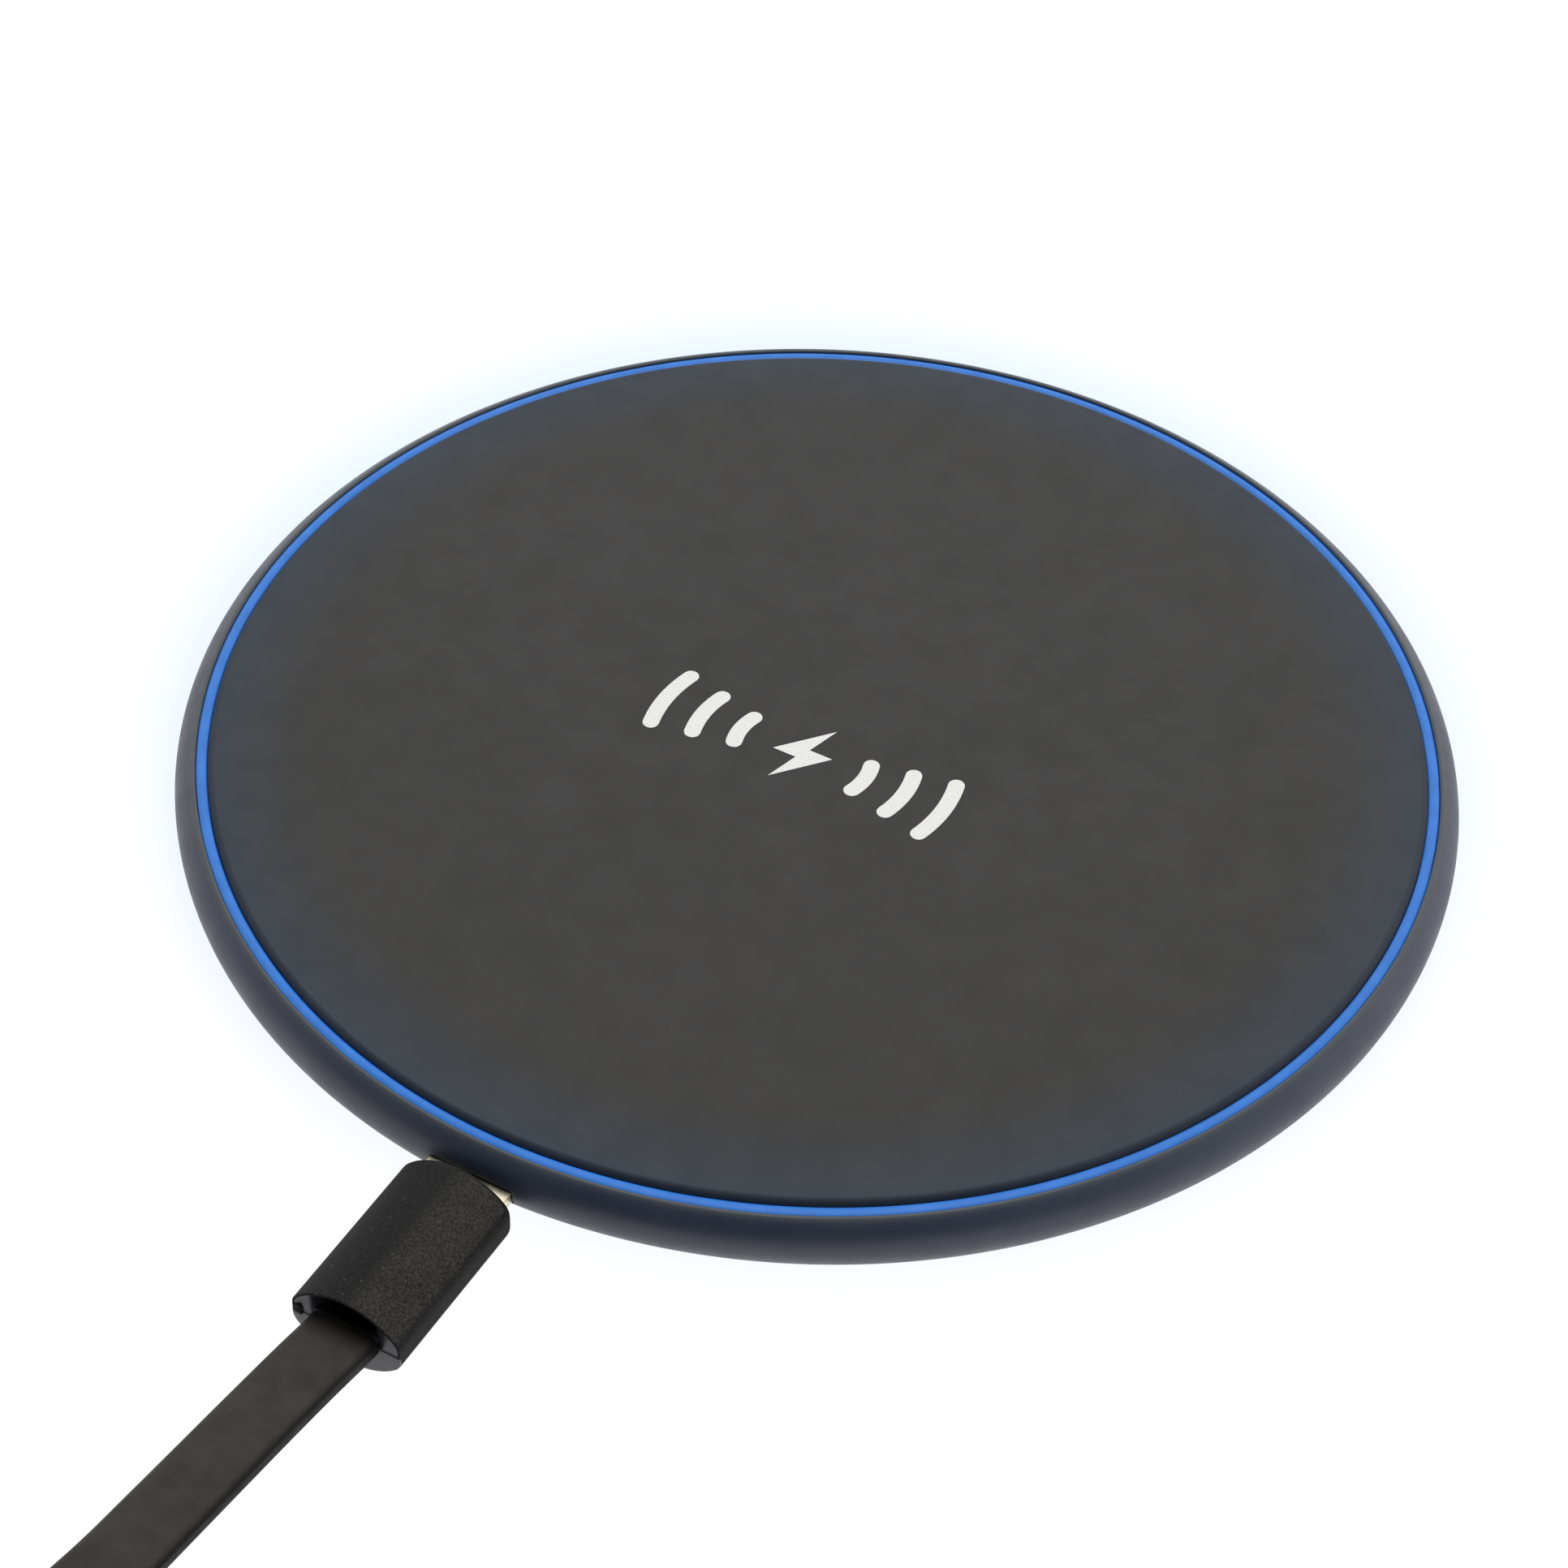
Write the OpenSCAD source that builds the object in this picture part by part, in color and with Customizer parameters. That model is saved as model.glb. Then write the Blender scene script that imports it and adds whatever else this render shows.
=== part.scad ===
// Round wireless charging pad with a lit ring and a plugged-in flat charging lead.
// Millimetres. Z is up, the table is z = 0, and the charging inlet faces -Y.

/* [Pad] */
// Outside diameter of the pad
pad_d = 100; // [98:1:110]
// Height from the table to the top of the cover
pad_h = 7.2; // [7.2:0.1:8]
// Radius of the full-round outer edge
edge_r = 2.65; // [2.6:0.01:2.7]
// Side wall, at its thickest
wall_t = 3.8; // [3.6:0.1:4]
// Floor of the base shell
floor_t = 1; // [0.8:0.1:1]

/* [Cover and light ring] */
// Thickness of the cover disc
cover_t = 1.3; // [1.2:0.05:1.4]
// Rounding of the cover's top edge
cover_edge_r = 0.6; // [0.4:0.1:0.6]
// Height of the cover above the light ring
cover_proud = 0.3; // [0.2:0.1:0.5]
// Visible width of the light ring
ring_w = 0.75; // [0.6:0.05:1.2]
// Width of the case's rim outside the light ring
rim_w = 1.8; // [1.6:0.1:2]

/* [Underside] */
// Height of the rubber foot below the base shell
foot_h = 0.6; // [0.5:0.1:0.8]
// Middle radius of the rubber foot and of the screws under it
foot_r = 37; // [36:0.5:38]
// Width of the rubber foot
foot_w = 8; // [7:0.5:9]
// Diameter of the blank rating label
label_d = 48; // [30:1:54]

/* [Charging electronics] */
// Outside diameter of the transmitter winding
winding_d = 43; // [40:1:46]
// Turns of the transmitter winding
winding_turns = 10; // [6:1:10]
// Diameter of the ferrite shield
ferrite_d = 50; // [48:1:52]
// Thickness of the circuit board
board_t = 0.8; // [0.6:0.1:0.8]
// Diodes that light the ring
led_count = 8; // [4:1:12]

/* [Inlet and small plug] */
// Height of the inlet's axis above the table
port_z = 3.9; // [3.8:0.05:4]
// Width of the small plug's shell
plug_shell_w = 6.85; // [6.8:0.01:6.9]
// Height of the small plug's shell
plug_shell_h = 1.8; // [1.75:0.01:1.85]
// Length of the small plug's shell outside its grip
plug_shell_len = 6.85; // [6.5:0.05:7]
// Gap between the pad's edge and the plug's grip
plug_gap = 1; // [0.9:0.1:1.4]
// Width of the small plug's grip
plug_w = 8.9; // [8.8:0.1:10]
// Height of the small plug's grip
plug_h = 6.5; // [6:0.1:6.6]
// Length of the small plug's grip
plug_len = 14.5; // [13:0.5:16]

/* [Flat cable] */
// Width of the flat cable
cable_w = 5.4; // [5:0.1:5.6]
// Thickness of the flat cable
cable_t = 2; // [1.6:0.1:2]
// Radius of the coiled cable's outer turn, at the middle of the cable
coil_r = 35; // [34:1:36]
// Spacing of the coil's turns
coil_pitch = 2.1; // [2:0.1:2.2]
// Turns in the coil
coil_turns = 4.9; // [4:0.1:4.9]

/* [Supply plug] */
// Width of the supply plug's grip
supply_w = 15.5; // [14.5:0.5:16]
// Height of the supply plug's grip
supply_h = 7.5; // [7:0.1:7.5]
// Length of the supply plug's grip
supply_len = 17; // [15:0.5:18]

/* [Hidden] */
$fn = 64;
EPS = 0.01;           // overlap that makes a cut clean
FIT = 0.05;           // clearance between parts that are put together

pad_r = pad_d / 2;
edge_cr = pad_r - edge_r;               // centre of the outer edge's arc
base_z = foot_h;
floor_z = base_z + floor_t;
cover_z = pad_h - cover_t;
ring_z = pad_h - cover_proud;           // top of the light ring
edge_drop = 2.3;                        // from the ring's top down to the case's widest level
edge_cz = ring_z - edge_drop;
flange_t = 0.3;                         // the light ring's flange, under the cover
ledge_z = cover_z - flange_t;
ring_ro = pad_r - rim_w;
ring_ri = ring_ro - ring_w;
flange_w = 3.1;                         // how far the flange reaches under the cover
flange_ri = ring_ri - flange_w;
cover_r = ring_ri - FIT;
cavity_r = pad_r - wall_t;
bevel_w = 6;
bevel_r = pad_r - bevel_w;              // where the underside starts to rise to the edge

// Underside bevel: from (bevel_r, base_z), tangent to the outer edge's arc
bevel_d = norm([edge_cr - bevel_r, edge_cz - base_z]);
bevel_a = atan2(edge_cz - base_z, edge_cr - bevel_r) - asin(edge_r / bevel_d);
bevel_len = sqrt(bevel_d * bevel_d - edge_r * edge_r);
bevel_end = [bevel_r + bevel_len * cos(bevel_a), base_z + bevel_len * sin(bevel_a)];

groove_z = base_z + 0.4;                // roof of the foot's groove
label_t = 0.12;
post_angles = [45, 135, 225, 315];
post_z = 3.2;                           // where the cover's posts meet the base's bosses
post_r = 2.3;
boss_r = 3;
boss_foot_r = 4.2;                      // step that the board rests on
screw_r = 1;
screw_head_r = 2;
screw_head_h = 1;
screw_head_z = groove_z + 0.1;
screw_tip_z = 5.2;
screw_len = screw_tip_z - screw_head_z;
screw_slot = [2, 0.5, 0.6];

// Micro-B inlet
socket_play = 0.08;                     // between the plug's shell and the socket's
socket_wall = 0.25;
socket_h = plug_shell_h + 2 * (socket_play + socket_wall);
socket_inset = 1.4;                     // from the pad's edge in to the socket
socket_front_y = socket_inset - pad_r;
plug_face_y = -(pad_r + plug_gap);      // front face of the small plug's grip
plug_tip_y = plug_face_y + plug_shell_len;
socket_back_y = plug_tip_y + 0.25;      // front of the block that closes the socket
socket_block = 1;
inlet_w = 7.2;
inlet_h = 2.85;
inlet_corner_r = 0.6;
inlet_lip = 0.2;                        // depth of the opening with round corners
neck_w = 7;                             // narrower neck behind the opening
neck_h = 2.1;
neck_corner_r = 0.3;
neck_end = 1.3;                         // from the pad's edge in to the end of the neck
pocket_w = 7.7;                         // square-cornered room for the socket behind it
pocket_depth = 5;
tongue_z = 0.05;                        // underside of the tongue, above the inlet's axis
tongue_t = 0.5;
tongue_w = 4.2;
tongue_y = socket_front_y + 0.7;
board_top = port_z - socket_h / 2;
board_z = board_top - board_t;
board_ri = 27;
board_gap = 0.4;                        // from the board to the wall
board_ro = cavity_r - board_gap;
contact_pitch = 0.65;
contact_count = 5;
contact_margin = 0.2;                   // from the tongue's tip to its contacts

// Winding, ferrite and foam under the cover
adhesive_t = 0.1;
winding_h = 1.2;
winding_wire = 1.1;
winding_pitch = 1.15;
winding_top = cover_z - adhesive_t;
winding_z = winding_top - winding_h;
winding_steps = 20;                     // points on each turn
ferrite_t = 0.8;
ferrite_z = winding_z - ferrite_t;
foam_r = 20;
inner_lead_a = 255;
outer_lead_a = 285;
winding_ri = winding_d / 2 - winding_pitch * (winding_turns + 1 / 12);
lead_w = 1.1;
lead_t = 0.6;
lead_end_r = 29.5;
thermistor_r = 1.3;
thermistor_h = 0.9;

// Parts on the board: [depth along the radius, width, height]
controller_size = [5, 5, 0.9];
transistor_size = [3.3, 3.3, 0.8];
resonant_size = [3.2, 2.5, 1.6];
input_size = [1.6, 3.2, 1.6];
passive_size = [0.8, 1.6, 0.5];
diode_size = [0.8, 1.6, 0.6];

// Rows of parts on the board: radius of the row, and angles along it
power_row_r = 37;
controller_angle = 245;
transistor_angles = [291, 300];
resonant_row_r = 34;
resonant_angles = [258, 266, 274, 282];
input_row_r = 39.6;
input_angles = [262, 278];
sense_row_r = 42;
sense_angles = [236, 240, 244, 248, 252];
gate_row_r = 32;
gate_angles = [292, 296, 300, 304, 308];
resistor_row_r = 43;
resistor_shift = 6;                     // degrees from a diode to its resistor
diode_row_r = board_ro - 0.8;

// Grips of the two plugs
grip_skin = 0.8;
grip_front = 1.2;
grip_recess = 0.5;                      // the core sits this far inside the skin's rear edge
plug_arc_r = 5.5;
supply_arc_r = 20;
shell_root = 4;                         // length of a plug's shell inside its grip
plug_sheet = 0.25;                      // metal of the small plug's shell
insert_top = -0.15;                     // top of the insert's slab, above the plug's axis
supply_shell_w = 12;
supply_shell_h = 4.5;
supply_shell_len = 12;
supply_shell_t = 0.3;
supply_shell_corner = 0.5;
supply_slab_t = 1.9;                    // insulator slab, against the shell's lower side
supply_slab_z = -supply_shell_h / 2 + supply_shell_t;
supply_contact_x = [-3.5, -1, 1, 3.5];
supply_window = 2.2;
supply_window_x = [-3, 3];
supply_window_y = 6.2;

// Flat cable: [x, y, z, twist]; twist 0 lies flat and 90 stands on edge.
// The whole lead moves with the small plug, by lead_shift along Y.
lead_y = -65;                           // where the cable leaves the small plug's core
lead_shift = plug_face_y - plug_len + grip_recess - lead_y;
lead_route = [
    [0, lead_y, port_z, 0],
    [0, -66, port_z, 0],
    [-0.35, -69.5, port_z, 0],
    [-0.95, -74, 3.8, 0],
    [-1.5, -79, 3.7, 1],
    [-2.1, -84, 3.5, 3],
    [-2.7, -89, 3.3, 6],
    [-3.3, -94, 3.2, 15],
    [-3.8, -98, 3.2, 32],
    [-4.3, -102, 3.2, 52],
    [-4.8, -106, 3.2, 72],
    [-5.3, -110.5, 3.2, 86],
    [-5.8, -116.3, 3.2, 90],
];
tail_route = [
    [10.6, -103.5, 3.2, 90],
    [8.6, -106.6, 3.2, 86],
    [7.8, -110.1, 3.2, 74],
    [8.2, -113.9, 3.3, 54],
    [9.9, -117.3, 3.5, 32],
    [12.6, -119.8, 3.7, 12],
    [16.2, -121.205, 3.75, 0],
    [19, -121.8, 3.75, 0],
];
coil_centre = [29, -120];
tie_t = 0.5;
tie_w = 8;
tie_h = cable_w + 2 * tie_t;
tie_angles = [60, 300];
coil_z = tie_t;
coil_ro = coil_r + cable_t / 2 + 0.1;
coil_ri = coil_r - coil_pitch * coil_turns - cable_t / 2 - 0.1;
supply_heading = -12;
tail_end = tail_route[len(tail_route) - 1];

// ---- Shapes that repeat ----

// A ring or disc of square section
module disc(r_out, z0, z1, r_in = 0) {
    rotate_extrude()
        translate([r_in, z0])
            square([r_out - r_in, z1 - z0]);
}

// Children once at each screw post
module at_posts() {
    for (a = post_angles)
        rotate([0, 0, a])
            translate([foot_r, 0, 0])
                children();
}

// Children on the board's top, at a radius and an angle
module on_board(r, a) {
    rotate([0, 0, a])
        translate([r, 0, board_top])
            children();
}

// A block that stands on z = 0, centred in X and Y
module chip(size) {
    translate([-size[0] / 2, -size[1] / 2, 0])
        cube(size);
}

// A row of blocks on the board's top
module chip_row(r, angles, size) {
    for (a = angles)
        on_board(r, a)
            chip(size);
}

// A 2D shape of X and Z pushed from y0 towards +Y
module along_y(y0, length) {
    translate([0, y0 + length, 0])
        rotate([90, 0, 0])
            linear_extrude(length)
                children();
}

// A rectangle with round corners, centred
module rounded_rect(w, h, r) {
    square([w - 2 * r, h], center = true);
    square([w, h - 2 * r], center = true);
    for (x = [-1, 1], y = [-1, 1])
        translate([x * (w / 2 - r), y * (h / 2 - r)])
            circle(r);
}

// Section of the small plug's shell, grown by g, with its two lower corners cut off
module micro_section(g) {
    x = plug_shell_w / 2 + g;
    z = plug_shell_h / 2 + g;
    cut_x = 2.7 + 0.42 * g;
    cut_z = -0.15 - 0.4 * g;
    polygon([[-x, z], [x, z], [x, cut_z], [cut_x, -z], [-cut_x, -z], [-x, cut_z]]);
}

// Section of the supply plug's shell, grown by g
module supply_section(g) {
    rounded_rect(supply_shell_w + 2 * g, supply_shell_h + 2 * g, supply_shell_corner + g);
}

// Lens with blunt sides: two arcs and two flats, shrunk by s
module lens(w, h, arc_r, s = 0) {
    intersection() {
        square([w - 2 * s, h], center = true);
        translate([0, arc_r - h / 2])
            circle(arc_r - s);
        translate([0, h / 2 - arc_r])
            circle(arc_r - s);
    }
}

// Outer skin of a grip: front face at y = 0, open at the rear; children cut the shell's hole
module grip(w, h, arc_r, length) {
    round_r = 0.9;
    difference() {
        hull() {
            along_y(-length, length - round_r)
                lens(w, h, arc_r, $fn = 96);
            for (a = [30, 60, 90])
                along_y(-round_r, round_r * sin(a))
                    lens(w, h, arc_r, round_r * (1 - cos(a)), $fn = 96);
        }
        along_y(-length - 1, length + 1 - grip_front)
            lens(w, h, arc_r, grip_skin);
        along_y(-shell_root, shell_root + 1)
            children();
    }
}

// Inner moulding of a grip; children cut the room for the shell's root
module grip_core(w, h, arc_r, length) {
    difference() {
        along_y(grip_recess - length, length - grip_recess - grip_front)
            lens(w, h, arc_r, grip_skin);
        along_y(-shell_root, shell_root)
            children();
    }
}

// ---- Flat cable ----

// Eight-sided section of the cable
function cable_section() = let (x = cable_w / 2, z = cable_t / 2, b = cable_t / 4)
    [[-x, -b], [-x + b, -z], [x - b, -z], [x, -b], [x, b], [x - b, z], [-x + b, z], [-x, b]];

function point_of(p) = [p[0], p[1], p[2]];
function unit(v) = v / norm(v);

// Direction of the route at point i
function heading(route, i) = unit(
    point_of(route[min(i + 1, len(route) - 1)]) - point_of(route[max(i - 1, 0)]));

// The section's ring at point i, turned by the point's own twist
function cable_ring(route, i) = let (
    d = heading(route, i),
    side = unit(cross(d, [0, 0, 1])),
    up = cross(side, d),
    t = route[i][3],
    u = side * cos(t) + up * sin(t),
    v = up * cos(t) - side * sin(t)
) [for (s = cable_section()) point_of(route[i]) + s[0] * u + s[1] * v];

// A closed tube through the route's points
module cable_tube(route) {
    n = len(cable_section());
    count = len(route);
    points = [for (i = [0 : count - 1]) each cable_ring(route, i)];
    sides = [for (i = [0 : count - 2], k = [0 : n - 1])
        let (a = i * n + k, b = i * n + (k + 1) % n)
            each [[a, a + n, b + n], [a, b + n, b]]];
    first = [for (k = [0 : n - 1]) k];
    last = [for (k = [n - 1 : -1 : 0]) (count - 1) * n + k];
    polyhedron(points, concat([first], sides, [last]));
}

// Children in the frame of the lead's routes
module on_lead() {
    translate([0, lead_shift, 0])
        children();
}

// Children in the frame of the supply plug, whose grip's front face is at y = 0
module at_supply_plug() {
    reach = supply_len - grip_recess;
    on_lead()
        translate(point_of(tail_end) + reach * [cos(supply_heading), sin(supply_heading), 0])
            rotate([0, 0, supply_heading - 90])
                children();
}

// Children in the frame of the small plug, whose grip's front face is at y = 0
module at_plug() {
    translate([0, plug_face_y, port_z])
        children();
}

// ---- Pad ----

// Case with the full-round rim, the light ring's seat, the bosses and the inlet
module base_shell() {
    color([0.16, 0.18, 0.22])
        difference() {
            union() {
                rotate_extrude()
                    difference() {
                        union() {
                            translate([edge_cr, edge_cz])
                                circle(edge_r);
                            polygon([
                                [0, base_z], [bevel_r, base_z], bevel_end,
                                [edge_cr, edge_cz], [edge_cr, ledge_z], [0, ledge_z]
                            ]);
                        }
                        translate([-1, floor_z])
                            square([cavity_r + 1, pad_h]);
                        translate([-1, ledge_z])
                            square([ring_ro + FIT + 1, pad_h]);
                        translate([foot_r - foot_w / 2 - FIT, base_z - 1])
                            square([foot_w + 2 * FIT, groove_z - base_z + 1]);
                        translate([-1, base_z - 1])
                            square([label_d / 2 + FIT + 1, 1 + label_t]);
                    }
                at_posts() {
                    translate([0, 0, floor_z - EPS])
                        cylinder(r = boss_foot_r, h = board_z - floor_z + EPS);
                    translate([0, 0, floor_z - EPS])
                        cylinder(r = boss_r, h = post_z - floor_z + EPS);
                }
            }
            at_posts() {
                translate([0, 0, base_z])
                    cylinder(r = screw_head_r + 0.2, h = screw_head_z + screw_head_h - base_z);
                translate([0, 0, base_z])
                    cylinder(r = screw_r + 0.2, h = post_z);
            }
            along_y(-pad_r - 1, inlet_lip + 1)
                translate([0, port_z])
                    rounded_rect(inlet_w, inlet_h, inlet_corner_r);
            along_y(-pad_r - 1, neck_end + 1)
                translate([0, port_z])
                    rounded_rect(neck_w, neck_h, neck_corner_r);
            along_y(neck_end - pad_r - EPS, pocket_depth - neck_end)
                translate([0, port_z])
                    square([pocket_w, inlet_h], center = true);
        }
}

// Translucent ring with a flange that is clamped between the cover and the base
module light_ring() {
    color([0.3, 0.52, 0.9])
        rotate_extrude() {
            translate([ring_ri, ledge_z])
                square([ring_w, ring_z - ledge_z]);
            translate([flange_ri, ledge_z])
                square([ring_ro - flange_ri, flange_t]);
        }
}

// Disc with a rounded edge and four screw posts
module top_cover() {
    color([0.27, 0.26, 0.26])
        difference() {
            union() {
                rotate_extrude() {
                    translate([0, cover_z])
                        square([cover_r - cover_edge_r, cover_t]);
                    translate([0, cover_z])
                        square([cover_r, cover_t - cover_edge_r]);
                    translate([cover_r - cover_edge_r, pad_h - cover_edge_r])
                        circle(cover_edge_r);
                }
                at_posts()
                    translate([0, 0, post_z])
                        cylinder(r = post_r, h = cover_z - post_z + EPS);
            }
            at_posts()
                translate([0, 0, post_z - 1])
                    cylinder(r = screw_r + FIT, h = cover_z - post_z + 0.5);
        }
}

// Anti-slip ring, flat where it rests on the table
module rubber_foot() {
    color([0.1, 0.1, 0.1])
        disc(foot_r + foot_w / 2, 0, groove_z, foot_r - foot_w / 2);
}

module rating_label() {
    color([0.2, 0.2, 0.21])
        disc(label_d / 2, base_z, base_z + label_t);
}

// Pan-head screws, under the foot
module case_screws() {
    color([0.7, 0.7, 0.72])
        at_posts()
            translate([0, 0, screw_head_z])
                difference() {
                    union() {
                        cylinder(r = screw_head_r, h = screw_head_h);
                        cylinder(r = screw_r, h = screw_len);
                    }
                    translate([0, 0, -EPS]) {
                        chip(screw_slot);
                        rotate([0, 0, 90])
                            chip(screw_slot);
                    }
                }
}

// ---- Electronics ----

// Ring-shaped board with a hole for each boss
module circuit_board() {
    color([0.05, 0.3, 0.16])
        difference() {
            disc(board_ro, board_z, board_top, board_ri);
            at_posts()
                translate([0, 0, board_z - 1])
                    cylinder(r = boss_r + 0.2, h = board_t + 2);
        }
}

module socket_shell() {
    color([0.75, 0.75, 0.76])
        along_y(socket_front_y, socket_back_y + socket_block - socket_front_y)
            translate([0, port_z])
                difference() {
                    micro_section(socket_play + socket_wall);
                    micro_section(socket_play);
                }
}

module socket_tongue() {
    color([0.12, 0.12, 0.12])
        difference() {
            union() {
                along_y(socket_back_y, socket_block)
                    translate([0, port_z])
                        micro_section(socket_play);
                along_y(tongue_y, socket_back_y - tongue_y + EPS)
                    translate([-tongue_w / 2, port_z + tongue_z])
                        square([tongue_w, tongue_t]);
            }
            socket_contact_set();
        }
}

// Five strips under the tongue, each with a tail down to the board
module socket_contact_set() {
    contact_w = 0.35;
    contact_t = 0.06;
    tail_y = socket_back_y + socket_block;
    for (i = [0 : contact_count - 1])
        translate([(i - (contact_count - 1) / 2) * contact_pitch - contact_w / 2, 0, 0]) {
            translate([0, tongue_y + contact_margin, port_z + tongue_z - contact_t])
                cube([contact_w, tail_y + 0.5 - tongue_y - contact_margin, contact_t]);
            translate([0, tail_y + 0.2, board_top])
                cube([contact_w, 0.3, port_z + tongue_z - board_top]);
        }
}

module socket_contacts() {
    color([0.85, 0.7, 0.35])
        socket_contact_set();
}

// Point on the middle line of the winding, t turns from its inner end
function winding_point(t, offset) = let (r = winding_ri + winding_pitch * t + offset)
    [r * cos(inner_lead_a + 360 * t), r * sin(inner_lead_a + 360 * t)];

// Flat spiral of wire from the inner lead's angle to the outer lead's
module transmitter_coil() {
    turns = winding_turns + (outer_lead_a - inner_lead_a) / 360;
    steps = ceil(turns * winding_steps);
    half = winding_wire / 2;
    inner = [for (i = [0 : steps]) winding_point(turns * i / steps, -half)];
    outer = [for (i = [steps : -1 : 0]) winding_point(turns * i / steps, half)];
    color([0.72, 0.4, 0.2])
        translate([0, 0, winding_z])
            linear_extrude(winding_h)
                polygon(concat(inner, outer));
}

module coil_adhesive() {
    color([0.85, 0.85, 0.8])
        disc(winding_d / 2, winding_top, cover_z);
}

// Disc with a slot for the winding's inner lead
module ferrite_shield() {
    color([0.2, 0.2, 0.21])
        difference() {
            disc(ferrite_d / 2, ferrite_z, winding_z);
            rotate([0, 0, inner_lead_a])
                translate([winding_ri - 1.5, -lead_w / 2 - 0.25, ferrite_z - 1])
                    cube([ferrite_d, lead_w + 0.5, ferrite_t + 2]);
        }
}

module foam_pad() {
    color([0.25, 0.25, 0.27])
        disc(foam_r, floor_z, ferrite_z);
}

// The winding's two ends, out over the board and down to it
module coil_leads() {
    inner_r = winding_ri - winding_wire / 2 - lead_t - 0.05;
    outer_r = winding_d / 2 + winding_wire / 2 + 0.1;
    inner_z = ferrite_z + 0.05;
    outer_z = winding_z + 0.2;
    color([0.8, 0.45, 0.25]) {
        rotate([0, 0, inner_lead_a]) {
            translate([inner_r, -lead_w / 2, inner_z])
                cube([lead_end_r - inner_r, lead_w, lead_t]);
            translate([inner_r, -lead_w / 2, inner_z])
                cube([lead_t, lead_w, winding_z + winding_h / 2 - inner_z]);
            translate([lead_end_r - lead_t, -lead_w / 2, board_top])
                cube([lead_t, lead_w, inner_z + lead_t - board_top]);
        }
        rotate([0, 0, outer_lead_a]) {
            translate([outer_r, -lead_w / 2, outer_z])
                cube([lead_end_r - outer_r, lead_w, lead_t]);
            translate([lead_end_r - lead_t, -lead_w / 2, board_top])
                cube([lead_t, lead_w, outer_z + lead_t - board_top]);
        }
    }
}

module coil_thermistor() {
    color([0.1, 0.1, 0.4])
        disc(thermistor_r, winding_z, winding_z + thermistor_h);
}

module controller_chip() {
    color([0.08, 0.08, 0.08])
        chip_row(power_row_r, [controller_angle], controller_size);
}

module bridge_transistors() {
    color([0.1, 0.1, 0.1])
        chip_row(power_row_r, transistor_angles, transistor_size);
}

module resonant_capacitors() {
    color([0.6, 0.45, 0.3])
        chip_row(resonant_row_r, resonant_angles, resonant_size);
}

module input_capacitors() {
    color([0.7, 0.55, 0.38])
        chip_row(input_row_r, input_angles, input_size);
}

// Angle of each diode that lights the ring
function led_angle(i) = 360 / led_count * (i + 0.5);

// Small parts round the controller and the transistors, and one beside each diode
module chip_passives() {
    color([0.5, 0.4, 0.32]) {
        chip_row(sense_row_r, sense_angles, passive_size);
        chip_row(gate_row_r, gate_angles, passive_size);
        chip_row(resistor_row_r, [for (i = [0 : led_count - 1]) led_angle(i) + resistor_shift],
            passive_size);
    }
}

module status_leds() {
    color([0.8, 0.85, 1])
        chip_row(diode_row_r, [for (i = [0 : led_count - 1]) led_angle(i)], diode_size);
}

// ---- Charging lead ----

module plug_overmould() {
    color([0.13, 0.13, 0.12])
        at_plug()
            grip(plug_w, plug_h, plug_arc_r, plug_len)
                micro_section(0);
}

module plug_core() {
    color([0.2, 0.2, 0.21])
        at_plug()
            grip_core(plug_w, plug_h, plug_arc_r, plug_len)
                micro_section(0);
}

module plug_shell() {
    color([0.8, 0.76, 0.66])
        at_plug()
            along_y(-shell_root, shell_root + plug_shell_len)
                difference() {
                    micro_section(0);
                    micro_section(-plug_sheet);
                }
}

// Strips along the top of the small plug's insert
module plug_contact_set() {
    contact_w = 0.4;
    contact_t = 0.08;
    for (i = [0 : contact_count - 1])
        translate([
            (i - (contact_count - 1) / 2) * contact_pitch - contact_w / 2, 0, insert_top
        ])
            translate([0, 0.5, 0])
                cube([contact_w, plug_shell_len - 1.2, contact_t]);
}

module plug_insert() {
    block_len = 2.2;
    color([0.1, 0.1, 0.1])
        at_plug()
            difference() {
                union() {
                    along_y(-shell_root, shell_root + block_len)
                        micro_section(-plug_sheet);
                    along_y(-shell_root, shell_root + plug_shell_len - 0.3)
                        intersection() {
                            micro_section(-plug_sheet);
                            translate([-plug_w, insert_top - plug_h])
                                square([2 * plug_w, plug_h]);
                        }
                }
                plug_contact_set();
            }
}

module plug_contacts() {
    color([0.85, 0.7, 0.35])
        at_plug()
            plug_contact_set();
}

module cable_lead() {
    color([0.14, 0.14, 0.13])
        on_lead()
            cable_tube(lead_route);
}

// Outer shape of the coiled cable
module cable_coil() {
    color([0.14, 0.14, 0.13])
        on_lead()
            translate(coil_centre)
                disc(coil_ro, coil_z, coil_z + cable_w, coil_ri);
}

module cable_tail() {
    color([0.14, 0.14, 0.13])
        on_lead()
            cable_tube(tail_route);
}

// Two straps round the coil's turns
module cable_ties() {
    room_in = coil_ri - 0.5;
    room_out = coil_ro + FIT;
    color([0.2, 0.2, 0.2])
        on_lead()
            translate(coil_centre)
                for (a = tie_angles)
                    rotate([0, 0, a])
                        difference() {
                            translate([room_in - tie_t, -tie_w / 2, 0])
                                cube([room_out - room_in + 2 * tie_t, tie_w, tie_h]);
                            translate([room_in, -tie_w, coil_z])
                                cube([room_out - room_in, 2 * tie_w, cable_w]);
                        }
}

module supply_plug_overmould() {
    color([0.13, 0.13, 0.12])
        at_supply_plug()
            grip(supply_w, supply_h, supply_arc_r, supply_len)
                supply_section(0);
}

module supply_plug_core() {
    color([0.2, 0.2, 0.21])
        at_supply_plug()
            grip_core(supply_w, supply_h, supply_arc_r, supply_len)
                supply_section(0);
}

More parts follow.
